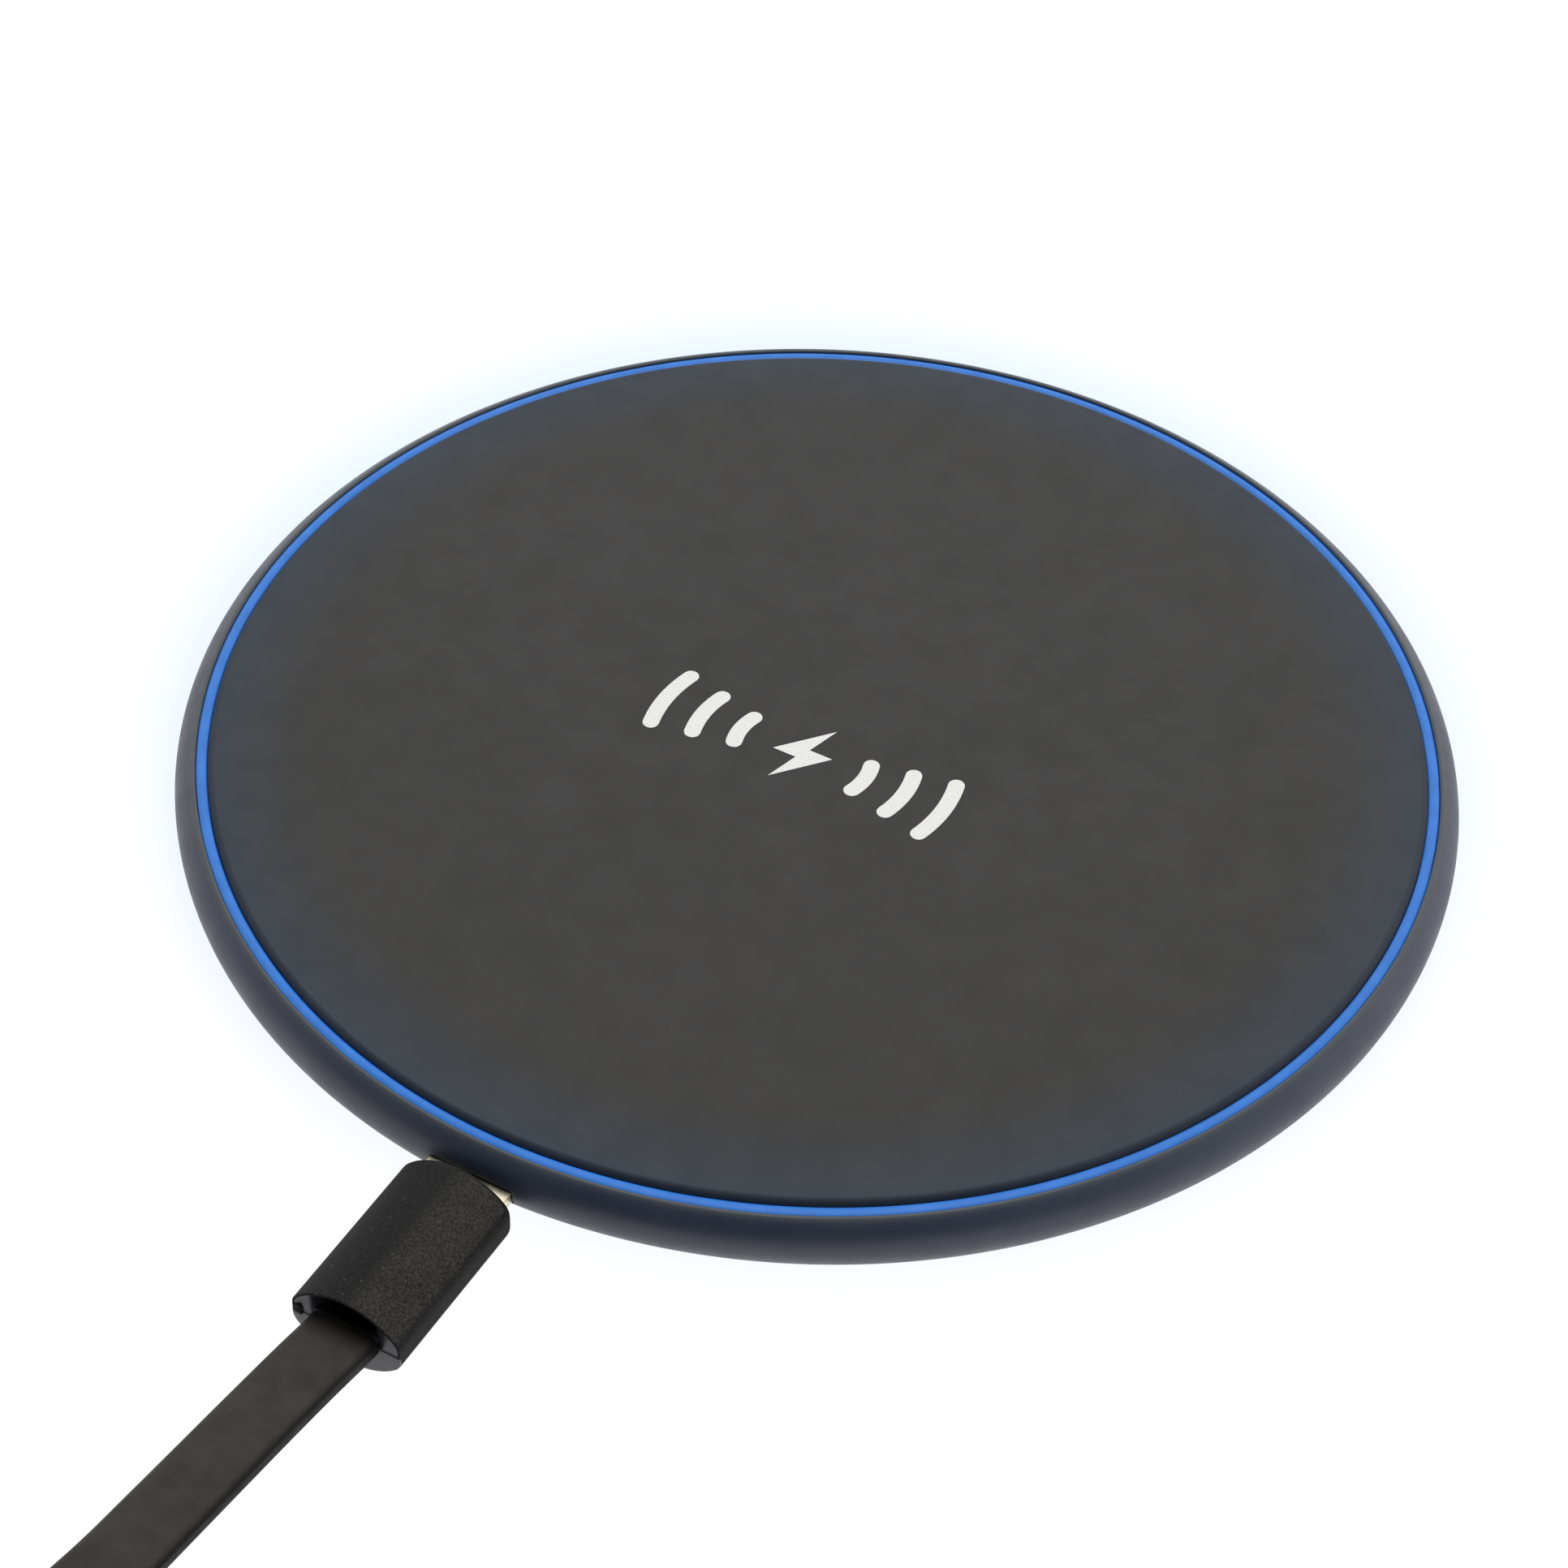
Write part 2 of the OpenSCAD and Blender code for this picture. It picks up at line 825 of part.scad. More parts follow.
// Sheet-metal shell with two square windows on each flat side
module supply_plug_shell() {
    color([0.78, 0.78, 0.79])
        at_supply_plug()
            difference() {
                along_y(-shell_root, shell_root + supply_shell_len)
                    difference() {
                        supply_section(0);
                        supply_section(-supply_shell_t);
                    }
                for (x = supply_window_x)
                    translate([x, supply_window_y, -supply_shell_h])
                        chip([supply_window, supply_window, 2 * supply_shell_h]);
            }
}

// Four flat contacts on the slab
module supply_contact_set() {
    contact_w = 1;
    contact_t = 0.1;
    start = 1;
    for (x = supply_contact_x)
        translate([x - contact_w / 2, start, supply_slab_z + supply_slab_t])
            cube([contact_w, supply_shell_len - 1.4 - start, contact_t]);
}

module supply_plug_insert() {
    block_len = 2;
    color([0.92, 0.92, 0.9])
        at_supply_plug()
            difference() {
                along_y(-shell_root, shell_root + supply_shell_len - 0.4)
                    intersection() {
                        supply_section(-supply_shell_t);
                        translate([-supply_w, supply_slab_z])
                            square([2 * supply_w, supply_slab_t]);
                    }
                supply_contact_set();
            }
        at_supply_plug()
            difference() {
                along_y(-shell_root, shell_root + block_len)
                    intersection() {
                        supply_section(-supply_shell_t);
                        translate([-supply_w, supply_slab_z + supply_slab_t])
                            square([2 * supply_w, supply_h]);
                    }
                supply_contact_set();
            }
}

module supply_plug_contacts() {
    color([0.85, 0.7, 0.35])
        at_supply_plug()
            supply_contact_set();
}

base_shell();
light_ring();
top_cover();
rubber_foot();
rating_label();
case_screws();
circuit_board();
socket_shell();
socket_tongue();
socket_contacts();
transmitter_coil();
coil_adhesive();
ferrite_shield();
foam_pad();
coil_leads();
coil_thermistor();
controller_chip();
bridge_transistors();
resonant_capacitors();
input_capacitors();
chip_passives();
status_leds();
plug_overmould();
plug_core();
plug_shell();
plug_insert();
plug_contacts();
cable_lead();
cable_coil();
cable_tail();
cable_ties();
supply_plug_overmould();
supply_plug_core();
supply_plug_shell();
supply_plug_insert();
supply_plug_contacts();
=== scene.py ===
"""Looks of the round wireless charging pad, its lit ring and its flat charging lead.

Shapes are written in millimetres and become metres when a mesh is made.
"""

import math

import bmesh
import bpy
from mathutils import Matrix, Vector


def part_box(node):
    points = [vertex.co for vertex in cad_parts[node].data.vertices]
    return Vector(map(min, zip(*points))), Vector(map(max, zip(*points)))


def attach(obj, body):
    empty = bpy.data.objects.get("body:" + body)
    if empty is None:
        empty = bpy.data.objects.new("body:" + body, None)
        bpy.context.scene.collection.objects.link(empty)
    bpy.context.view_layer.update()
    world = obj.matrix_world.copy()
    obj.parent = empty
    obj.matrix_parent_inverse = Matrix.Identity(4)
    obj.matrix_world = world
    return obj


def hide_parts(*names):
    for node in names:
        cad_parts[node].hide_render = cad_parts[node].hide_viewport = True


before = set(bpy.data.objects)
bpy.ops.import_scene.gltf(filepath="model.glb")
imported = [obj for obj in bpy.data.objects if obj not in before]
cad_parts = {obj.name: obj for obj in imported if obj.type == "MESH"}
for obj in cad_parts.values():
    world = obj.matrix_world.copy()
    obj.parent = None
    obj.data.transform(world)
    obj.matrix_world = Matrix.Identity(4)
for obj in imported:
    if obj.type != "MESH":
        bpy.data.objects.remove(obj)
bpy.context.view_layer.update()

MM = 0.001
PAD = "pad"
LEAD = "charge_lead"


# ---- Sizes taken from the frame, in millimetres ----


def box_mm(node):
    """Lowest and highest corner of a CAD node, in millimetres."""
    low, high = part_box(node)
    return low / MM, high / MM


def radii_mm(node):
    """Smallest and largest distance of a CAD node's points from the pad's axis, in millimetres."""
    found = [v.co.xy.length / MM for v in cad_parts[node].data.vertices]
    return min(found), max(found)


PAD_R = radii_mm("base_shell")[1]
BASE_Z = box_mm("base_shell")[0].z
COVER_TOP = box_mm("top_cover")[1].z
COVER_R = radii_mm("top_cover")[1]
RING_LOW, RING_HIGH = (corner.z for corner in box_mm("light_ring"))
FLANGE_R, RING_RO = radii_mm("light_ring")
FOOT_RI, FOOT_RO = radii_mm("rubber_foot")
FOOT_TOP = box_mm("rubber_foot")[1].z
LABEL_R = radii_mm("rating_label")[1]
LABEL_TOP = box_mm("rating_label")[1].z
SCREW_Z = box_mm("case_screws")[0].z
PLUG_LOW, PLUG_HIGH = box_mm("plug_overmould")
PLUG_W = PLUG_HIGH.x - PLUG_LOW.x
PLUG_H = PLUG_HIGH.z - PLUG_LOW.z
PLUG_LEN = PLUG_HIGH.y - PLUG_LOW.y
PLUG_FACE_Y = PLUG_HIGH.y
PORT_Z = (PLUG_LOW.z + PLUG_HIGH.z) / 2

# ---- Sizes of the looks, in millimetres ----

EDGE_R = 2.65            # full-round outer edge of the case
EDGE_CZ = RING_HIGH - 2.3
WALL_T = 3.8             # from the outside to the cavity
FLOOR_T = 1.0
BEVEL_IN = 6.0           # from the outside to where the underside starts to rise
FIT = 0.05               # gap between parts that lie in one another
COVER_EDGE_R = 0.6
RING_W = RING_RO - COVER_R - FIT
FLANGE_T = 0.3           # the light ring's flange, clamped under the cover
TURNED_STEPS = 360       # flat sides of a turned piece, too fine to see

POST_FOOT_R = 4.2        # foot of a screw post, round the screw's head
POST_FOOT_TOP = 1.87
POST_R = 3.0
POST_TOP = 3.2
HEAD_BORE_R = 2.2
SHANK_BORE_R = 1.2
BOSS_R = 2.3             # cover's boss over a screw post

INLET_W = 7.2
INLET_H = 2.85
INLET_CORNER = 0.6
INLET_LIP = 0.14         # depth of the opening with round corners
INLET_SOFT = 0.08        # bevel of its outer edge
NECK_W = 7.0             # narrower neck behind the opening
NECK_H = 2.1
NECK_CORNER = 0.3
NECK_END = 1.3
POCKET_W = 7.7           # square-cornered room for the socket behind it
POCKET_DEPTH = 5.0

PLUG_ARC_R = 5.5         # small grip's two crowned faces
PLUG_CORNER = 1.5        # its rounded sides
SUPPLY_W, SUPPLY_H, SUPPLY_LEN = 15.5, 7.5, 17.0
SUPPLY_ARC_R = 20.0
SUPPLY_CORNER = 1.2
SKIN = 0.2               # a grip's skin, where its rear edge shows
SKIN_HOLLOW = 2.4        # how far in the skin is hollow
SHELL_W, SHELL_H = 6.85, 1.8
SHELL_FLAT_X = 2.7       # half the width of the small shell's lower face
SHELL_CUT_Z = -0.15      # where its two cut corners start
SUPPLY_SHELL_W, SUPPLY_SHELL_H = 12.0, 4.5
SHELL_FIT = 0.02         # gap round a metal shell in its grip
SHELL_SEAT = 1.5         # how deep it sits in the grip
CORE_RECESS = 0.5        # from the grip's rear edge in to the cable's end
SUPPLY_HEADING = math.radians(-12)
SHOULDER = (0.469, 0, 0.883)     # direction that the grip's shoulder with the painted highlight faces

# Flat cable. The routes follow the CAD tubes within 0.2 mm: x, y, z and twist in degrees.
CABLE_W = 5.4
CABLE_T = 2.0
LEAD_ROUTE = [
    (0, -65, 3.9, 0),
    (-0.08, -66.2, 3.9, 0),
    (-0.46, -69.5, 3.9, 0),
    (-0.95, -74, 3.8, 0),
    (-1.44, -79, 3.7, 1),
    (-1.98, -84, 3.5, 3),
    (-2.55, -89, 3.3, 6),
    (-3.3, -94, 3.2, 15),
    (-3.8, -98, 3.2, 32),
    (-4.3, -102, 3.2, 52),
    (-4.8, -106, 3.2, 72),
    (-5.3, -110.5, 3.2, 86),
    (-5.8, -116.3, 3.2, 90),
]
TAIL_ROUTE = [
    (10.6, -103.5, 3.2, 90),
    (8.6, -106.6, 3.2, 86),
    (7.8, -110.1, 3.2, 74),
    (8.2, -113.9, 3.3, 54),
    (9.9, -117.3, 3.5, 32),
    (12.6, -119.8, 3.7, 12),
    (16.2, -121.205, 3.75, 0),
    (19, -121.8, 3.75, 0),
]
ROUTE_STEPS = 6          # from each point of a route to the next
COIL_CENTRE = (29, -120)
COIL_R = 35.0
COIL_PITCH = 2.1
COIL_TURNS = 4.9
COIL_START = 174         # degrees, where the lead joins the coil
COIL_Z = 3.2
COIL_STEPS = 72          # points on each turn


# ---- Camera ----


def make_camera():
    """Three-quarter view from above, with the inlet at the lower left."""
    data = bpy.data.cameras.new("camera")
    data.lens = 93.17
    data.sensor_width = 36
    data.clip_start = 0.01
    camera = bpy.data.objects.new("camera", data)
    right = Vector((0.86699, 0.49773, 0.02439))
    up = Vector((-0.36243, 0.5962, 0.71637))
    back = right.cross(up)
    turn = Matrix((right, up, back)).transposed().to_4x4()
    camera.matrix_world = Matrix.Translation(Vector((107.18, -202.85, 224.80)) * MM) @ turn
    bpy.context.scene.collection.objects.link(camera)
    bpy.context.scene.camera = camera


# ---- Mesh tools ----


def make_piece(name, points, faces, finish, body, sharp=35):
    """A piece from points in millimetres, smooth but for edges over the sharp angle."""
    mesh = bpy.data.meshes.new(name)
    mesh.from_pydata([Vector(p) * MM for p in points], [], faces)
    piece = bpy.data.objects.new(name, mesh)
    bpy.context.scene.collection.objects.link(piece)
    tidy_mesh(piece, sharp)
    if finish is not None:
        mesh.materials.append(finish)
    if body is not None:
        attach(piece, body)
    return piece


def tidy_mesh(piece, sharp=35):
    """Outward faces, smooth shading and sharp edges by angle."""
    work = bmesh.new()
    work.from_mesh(piece.data)
    bmesh.ops.remove_doubles(work, verts=work.verts, dist=1e-7)
    bmesh.ops.recalc_face_normals(work, faces=work.faces)
    work.to_mesh(piece.data)
    work.free()
    piece.data.shade_smooth()
    piece.data.set_sharp_from_angle(angle=math.radians(sharp))


def grid_faces(rings, size, closed):
    """Quads between neighbouring rings of the same size; closed joins the last to the first."""
    faces = []
    for i in range(rings if closed else rings - 1):
        low, high = i * size, (i + 1) % rings * size
        for k in range(size):
            n = (k + 1) % size
            faces.append((low + k, low + n, high + n, high + k))
    return faces


def loft(name, rings, finish, body, sharp=35):
    """A closed solid through rings of points, with a flat cap on each end."""
    size = len(rings[0])
    points = [p for ring in rings for p in ring]
    faces = grid_faces(len(rings), size, False)
    faces.append(tuple(range(size)))
    faces.append(tuple(range(len(points) - size, len(points))))
    return make_piece(name, points, faces, finish, body, sharp)


def turned(name, profile, finish, body):
    """A piece turned about the pad's axis from a closed outline of (radius, height)."""
    rings = []
    for i in range(TURNED_STEPS):
        a = math.tau * i / TURNED_STEPS
        rings += [(r * math.cos(a), r * math.sin(a), z) for r, z in profile]
    faces = grid_faces(TURNED_STEPS, len(profile), True)
    return make_piece(name, rings, faces, finish, body)


def arc(centre, radius, start, end, steps):
    """Points (x, z) on an arc, angles in degrees."""
    turn = [math.radians(start + (end - start) * i / steps) for i in range(steps + 1)]
    return [(centre[0] + radius * math.cos(a), centre[1] + radius * math.sin(a)) for a in turn]


def prism(outline, y0, y1):
    """Two rings that push an outline of (x, z) from y0 to y1."""
    return [[(x, y, z) for x, z in outline] for y in (y0, y1)]


def boolean(piece, tool, operation):
    """Cuts the tool out of the piece, or adds it, and removes the tool."""
    modifier = piece.modifiers.new("boolean", "BOOLEAN")
    modifier.operation = operation
    modifier.object = tool
    modifier.solver = "EXACT"
    bpy.context.view_layer.update()
    graph = bpy.context.evaluated_depsgraph_get()
    made = bpy.data.meshes.new_from_object(piece.evaluated_get(graph))
    piece.modifiers.clear()
    piece.data = made
    bpy.data.objects.remove(tool)


def post_tool(radius, z0, z1):
    """Upright cylinders on the screw posts' axes, as one unfinished object."""
    points, faces = [], []
    steps = 48
    for x, y in post_places():
        first = len(points)
        ring = arc((x, y), radius, 0, 360, steps)[:-1]
        points += [(px, py, z0) for px, py in ring] + [(px, py, z1) for px, py in ring]
        low = range(first, first + steps)
        faces += [tuple(low), tuple(k + steps for k in low)]
        for k in range(steps):
            a, b = first + k, first + (k + 1) % steps
            faces.append((a, b, b + steps, a + steps))
    return make_piece("tool", points, faces, None, None)


# ---- Material tools ----


class Finish:
    """A Principled material whose nodes are added by short calls."""

    def __init__(self, name, **constants):
        self.material = bpy.data.materials.new(name)
        self.material.use_nodes = True
        self.nodes = self.material.node_tree.nodes
        self.links = self.material.node_tree.links
        self.shader = self.nodes["Principled BSDF"]
        for key, value in constants.items():
            self.shader.inputs[key.replace("_", " ")].default_value = value
        self.place = self.nodes.new("ShaderNodeTexCoord").outputs["Object"]
        self.height = None

    def put(self, value, socket):
        """Links an output to a socket, or sets the socket to a number or colour."""
        if isinstance(value, bpy.types.NodeSocket):
            self.links.new(value, socket)
        elif isinstance(value, tuple) and len(value) == 3 and socket.type == "RGBA":
            socket.default_value = (*value, 1)
        else:
            socket.default_value = value

    def stretch(self, x, y, z):
        """The place scaled unevenly, for grain with a direction."""
        node = self.nodes.new("ShaderNodeMapping")
        node.inputs["Scale"].default_value = (x, y, z)
        self.links.new(self.place, node.inputs["Vector"])
        return node.outputs["Vector"]

    def noise(self, size, detail, place=None, roughness=0.5):
        """Noise with features of a size in millimetres."""
        node = self.nodes.new("ShaderNodeTexNoise")
        node.inputs["Scale"].default_value = 1 / (size * MM)
        node.inputs["Detail"].default_value = detail
        node.inputs["Roughness"].default_value = roughness
        self.links.new(place or self.place, node.inputs["Vector"])
        return node.outputs["Fac"]

    def cells(self, size, feature="F1"):
        """Distance to cell centres, or to cell edges, with cells of a size in millimetres."""
        node = self.nodes.new("ShaderNodeTexVoronoi")
        node.feature = feature
        node.inputs["Scale"].default_value = 1 / (size * MM)
        self.links.new(self.place, node.inputs["Vector"])
        return node.outputs["Distance"]

    def wave(self, size, direction):
        """Stripes of a width in millimetres; at a scale of 1 they are 0.3142 m wide."""
        node = self.nodes.new("ShaderNodeTexWave")
        node.bands_direction = direction
        node.inputs["Scale"].default_value = 0.3142 / (size * MM)
        self.links.new(self.place, node.inputs["Vector"])
        return node.outputs["Fac"]

    def math(self, operation, a, b, clamp=False):
        node = self.nodes.new("ShaderNodeMath")
        node.operation = operation
        node.use_clamp = clamp
        self.put(a, node.inputs[0])
        self.put(b, node.inputs[1])
        return node.outputs[0]

    def span(self, value, low, high, to_low=0.0, to_high=1.0):
        """Smooth step of a value between two limits."""
        node = self.nodes.new("ShaderNodeMapRange")
        node.interpolation_type = "SMOOTHSTEP"
        self.put(value, node.inputs["Value"])
        node.inputs["From Min"].default_value = low
        node.inputs["From Max"].default_value = high
        node.inputs["To Min"].default_value = to_low
        node.inputs["To Max"].default_value = to_high
        return node.outputs["Result"]

    def mix(self, factor, a, b):
        node = self.nodes.new("ShaderNodeMix")
        node.data_type = "RGBA"
        self.put(factor, node.inputs["Factor"])
        self.put(a, node.inputs["A"])
        self.put(b, node.inputs["B"])
        return node.outputs["Result"]

    def radius(self):
        """Distance from the pad's axis, in millimetres."""
        flat = self.stretch(1 / MM, 1 / MM, 0)
        node = self.nodes.new("ShaderNodeVectorMath")
        node.operation = "LENGTH"
        self.links.new(flat, node.inputs[0])
        return node.outputs["Value"]

    def facing(self, low, high, side=(0, 0, 1)):
        """Smooth step of how far the surface looks to a side, between two cosines."""
        node = self.nodes.new("ShaderNodeVectorMath")
        node.operation = "DOT_PRODUCT"
        normal = self.nodes.new("ShaderNodeTexCoord").outputs["Normal"]
        self.links.new(normal, node.inputs[0])
        node.inputs[1].default_value = side
        return self.span(node.outputs["Value"], low, high)

    def across(self, axis, low, high):
        """Smooth step along an axis between two places in millimetres."""
        split = self.nodes.new("ShaderNodeSeparateXYZ")
        self.links.new(self.place, split.inputs[0])
        return self.span(split.outputs[axis], low * MM, high * MM)

    def bump(self, height, depth):
        """Adds relief of a depth in millimetres to the surface."""
        node = self.nodes.new("ShaderNodeBump")
        node.inputs["Distance"].default_value = depth * MM
        self.links.new(height, node.inputs["Height"])
        if self.height is not None:
            self.links.new(self.height, node.inputs["Normal"])
        self.height = node.outputs["Normal"]
        self.links.new(self.height, self.shader.inputs["Normal"])

    def colour(self, value):
        self.put(value, self.shader.inputs["Base Color"])

    def rough(self, value):
        self.put(value, self.shader.inputs["Roughness"])


def moulded(name, base, rough, grain=0.2, depth=0.004, shift=0.2):
    """Moulded plastic: fine grain, faint mottling and uneven gloss."""
    f = Finish(name)
    mottle = f.noise(6, 3)
    dark = tuple(c * (1 - shift) for c in base)
    light = tuple(c * (1 + shift) for c in base)
    f.colour(f.mix(f.span(mottle, 0.3, 0.7), dark, light))
    f.rough(f.span(f.noise(1.4, 3), 0.2, 0.8, rough - 0.06, rough + 0.06))
    f.bump(f.noise(grain, 3), depth)
    return f.material


def metal(name, base, rough, direction):
    """Sheet metal with fine rolling marks and a cloudy gloss."""
    f = Finish(name, Metallic=1.0)
    grain = f.noise(2.5, 4, f.stretch(*direction))
    cloud = f.noise(1.5, 3)
    f.colour(f.mix(f.span(cloud, 0.3, 0.7), tuple(c * 0.86 for c in base), base))
    f.rough(f.span(grain, 0.25, 0.75, rough - 0.08, rough + 0.1))
    f.bump(grain, 0.002)
    return f.material


# ---- Materials ----


def cover_finish():
    """Soft-touch disc: warm grey, with the ring's blue glow painted on near the ring, painted navy
    shade on its rounded edge, dusty.
    """
    f = Finish("soft_touch_cover", Specular_IOR_Level=0.3)
    r = f.radius()
    mottle = f.span(f.noise(9, 4), 0.3, 0.7)
    grain = f.span(f.noise(0.16, 2), 0.3, 0.7)
    grey = f.mix(mottle, (0.031, 0.0295, 0.029), (0.035, 0.033, 0.0325))
    grey = f.mix(f.math("MULTIPLY", grain, 0.35), grey, (0.047, 0.045, 0.043))
    # painted light: the ring's blue glow, painted on the disc's outer part and fading towards the
    # middle
    glow = f.math("POWER", f.span(r, 38.5, 47.2), 1.6)
    grey = f.mix(f.math("MULTIPLY", glow, 0.85), grey, (0.03, 0.043, 0.064))
    speck = f.span(f.cells(1.1), 0.045, 0.02)
    few = f.span(f.noise(7, 1), 0.52, 0.62)
    dust = f.math("MULTIPLY", speck, few)
    grey = f.mix(f.math("MULTIPLY", dust, 0.7), grey, (0.2, 0.195, 0.18))
    # painted shade: dark navy on the disc's rounded edge
    edge = f.span(r, COVER_R - 0.62, COVER_R - 0.42)
    f.colour(f.mix(edge, grey, (0.02, 0.029, 0.046)))
    f.rough(f.span(f.noise(3, 3), 0.2, 0.8, 0.56, 0.66))
    f.bump(f.noise(0.16, 2), 0.006)
    return f.material


def case_finish():
    """Satin navy case, with a painted floor reflection that lightens it low on its side and a
    painted highlight that greys the crest beside the ring.
    """
    f = Finish("case_plastic", Specular_IOR_Level=0.65)
    mottle = f.span(f.noise(8, 4), 0.3, 0.7)
    navy = f.mix(mottle, (0.017, 0.0265, 0.053), (0.0205, 0.0315, 0.061))
    # painted reflection of the floor: paler where the side faces down and out
    side = f.math("MULTIPLY", f.facing(0.25, -0.3), f.facing(-0.9, -0.5))
    navy = f.mix(side, navy, (0.036, 0.046, 0.075))
    # painted highlight: a greyer band on the crest beside the ring, where it faces up
    painted_crest_highlight = f.span(f.radius(), RING_RO + 0.75, RING_RO + 0.35)
    painted_crest_highlight = f.math("MULTIPLY", painted_crest_highlight, f.facing(0.2, 0.5))
    navy = f.mix(painted_crest_highlight, navy, (0.036, 0.048, 0.062))
    f.colour(navy)
    f.rough(f.span(f.noise(2.5, 3), 0.2, 0.8, 0.4, 0.5))
    f.bump(f.noise(0.14, 2), 0.004)
    return f.material


def ring_finish():
    """Milky light guide, lit blue from within and slightly uneven."""
    f = Finish("lit_light_guide", Roughness=0.38, Emission_Strength=1.0, Specular_IOR_Level=0.3)
    haze = f.span(f.noise(2.2, 3), 0.25, 0.75)
    f.colour(f.mix(haze, (0.018, 0.11, 0.38), (0.026, 0.13, 0.43)))
    glow = f.mix(haze, (0.009, 0.073, 0.26), (0.013, 0.091, 0.31))
    f.put(glow, f.shader.inputs["Emission Color"])
    f.bump(f.noise(0.3, 2), 0.003)
    return f.material


def grip_finish():
    """Spark-eroded black grip: coarse grain, with a painted highlight that makes one shoulder paler
    and painted shade on the rest.
    """
    f = Finish("grip_texture", Specular_IOR_Level=0.15)
    grain = f.noise(0.17, 3, roughness=0.7)
    fine = f.span(grain, 0.36, 0.66)
    # painted light and shade: a dark copy of the grain for the sides and a lighter copy for the
    # crown
    side = f.mix(fine, (0.0015, 0.0015, 0.0018), (0.0235, 0.023, 0.023))
    crown = f.mix(fine, (0.013, 0.0126, 0.0114), (0.062, 0.06, 0.054))
    cloud = f.span(f.noise(2.5, 2), 0.3, 0.7, 0.65, 1.0)
    # painted highlight: the lighter copy only where the surface faces the shoulder direction
    painted_lit_shoulder = f.math("MULTIPLY", f.facing(0.85, 0.985, SHOULDER), cloud)
    base = f.mix(painted_lit_shoulder, side, crown)
    point = f.math("MULTIPLY", f.span(f.cells(0.6), 0.13, 0.06), f.span(f.noise(2, 1), 0.5, 0.6))
    f.colour(f.mix(f.math("MULTIPLY", point, 0.5), base, (0.22, 0.22, 0.21)))
    f.rough(f.span(grain, 0.3, 0.7, 0.6, 0.8))
    f.bump(grain, 0.07)
    return f.material


def core_finish():
    """Smooth inner moulding of the plugs, with painted shade that blackens the small plug's dish."""
    f = Finish("grip_core_plastic", Specular_IOR_Level=0.45)
    grey = f.mix(f.span(f.noise(6, 3), 0.3, 0.7), (0.016, 0.0166, 0.023), (0.022, 0.0226, 0.03))
    # painted shade: near black in the small plug's dish, under the skin's overhang
    left, right = f.across("X", -2.6, -1.2), f.across("X", 2.7, 1.6)
    inside = f.math("MULTIPLY", f.math("MULTIPLY", left, right), f.across("Z", PORT_Z, PORT_Z + 0.8))
    f.colour(f.mix(inside, grey, (0.0015, 0.0015, 0.002)))
    f.rough(f.span(f.noise(1.4, 3), 0.2, 0.8, 0.3, 0.42))
    f.bump(f.noise(0.4, 3), 0.002)
    return f.material


def jacket_finish():
    """Satin cable jacket, with a painted highlight where it faces up, painted shade on its sides and
    a painted shadow where it leaves the small plug.
    """
    f = Finish("cable_jacket", Specular_IOR_Level=0.12)
    cloud = f.span(f.noise(2.6, 5, roughness=0.6), 0.34, 0.66)
    top = f.mix(cloud, (0.036, 0.0335, 0.0275), (0.049, 0.046, 0.0385))
    # painted highlight and shade: the paler colour only where the jacket faces up, near black
    # elsewhere
    base = f.mix(f.facing(0.35, 0.995), (0.004, 0.004, 0.0042), top)
    # painted shadow: darker where the cable leaves the small plug, under the grip's overhang
    painted_exit_shadow = f.across("Y", PLUG_LOW.y - 2.2, PLUG_LOW.y - 0.1)
    base = f.mix(f.math("MULTIPLY", painted_exit_shadow, 0.9), base, (0.003, 0.003, 0.003))
    speck = f.math("MULTIPLY", f.span(f.cells(1.6), 0.03, 0.012), f.span(f.noise(6, 1), 0.5, 0.6))
    f.colour(f.mix(f.math("MULTIPLY", speck, 0.5), base, (0.25, 0.25, 0.24)))
    f.rough(f.span(f.noise(1.2, 4), 0.25, 0.75, 0.42, 0.56))
    f.bump(f.noise(0.5, 3), 0.004)
    f.bump(f.noise(3, 2), 0.02)
    return f.material


def rubber_finish():
    """Matte rubber with a fine stipple."""
    f = Finish("foot_rubber", Specular_IOR_Level=0.3)
    dust = f.span(f.noise(5, 4), 0.45, 0.75)
    f.colour(f.mix(dust, (0.014, 0.014, 0.0145), (0.028, 0.0275, 0.027)))
    f.rough(f.span(f.noise(1, 3), 0.2, 0.8, 0.75, 0.92))
    f.bump(f.span(f.cells(0.35), 0.0, 0.6), 0.02)
    return f.material


def label_finish():
    """Blank dark film with a thin lighter border line."""
    f = Finish("label_film")
    r = f.radius()
    outer = f.span(r, LABEL_R - 1.75, LABEL_R - 1.65)
    inner = f.span(r, LABEL_R - 1.45, LABEL_R - 1.35)
    line = f.math("SUBTRACT", outer, inner, clamp=True)
    film = f.mix(f.span(f.noise(7, 3), 0.3, 0.7), (0.022, 0.023, 0.026), (0.028, 0.029, 0.033))
    f.colour(f.mix(line, film, (0.2, 0.205, 0.22)))
    f.rough(f.span(f.noise(1.5, 3), 0.2, 0.8, 0.36, 0.48))
    f.bump(f.noise(0.4, 2), 0.003)
    return f.material


def ink_finish():
    """Screen-printed off-white ink, slightly speckled."""
    f = Finish("print_ink")
    speckle = f.span(f.noise(0.18, 2), 0.3, 0.7)
    f.colour(f.mix(speckle, (0.84, 0.84, 0.8), (0.94, 0.94, 0.9)))
    f.rough(f.span(f.noise(0.8, 2), 0.2, 0.8, 0.5, 0.65))
    f.bump(f.noise(0.16, 2), 0.006)
    return f.material


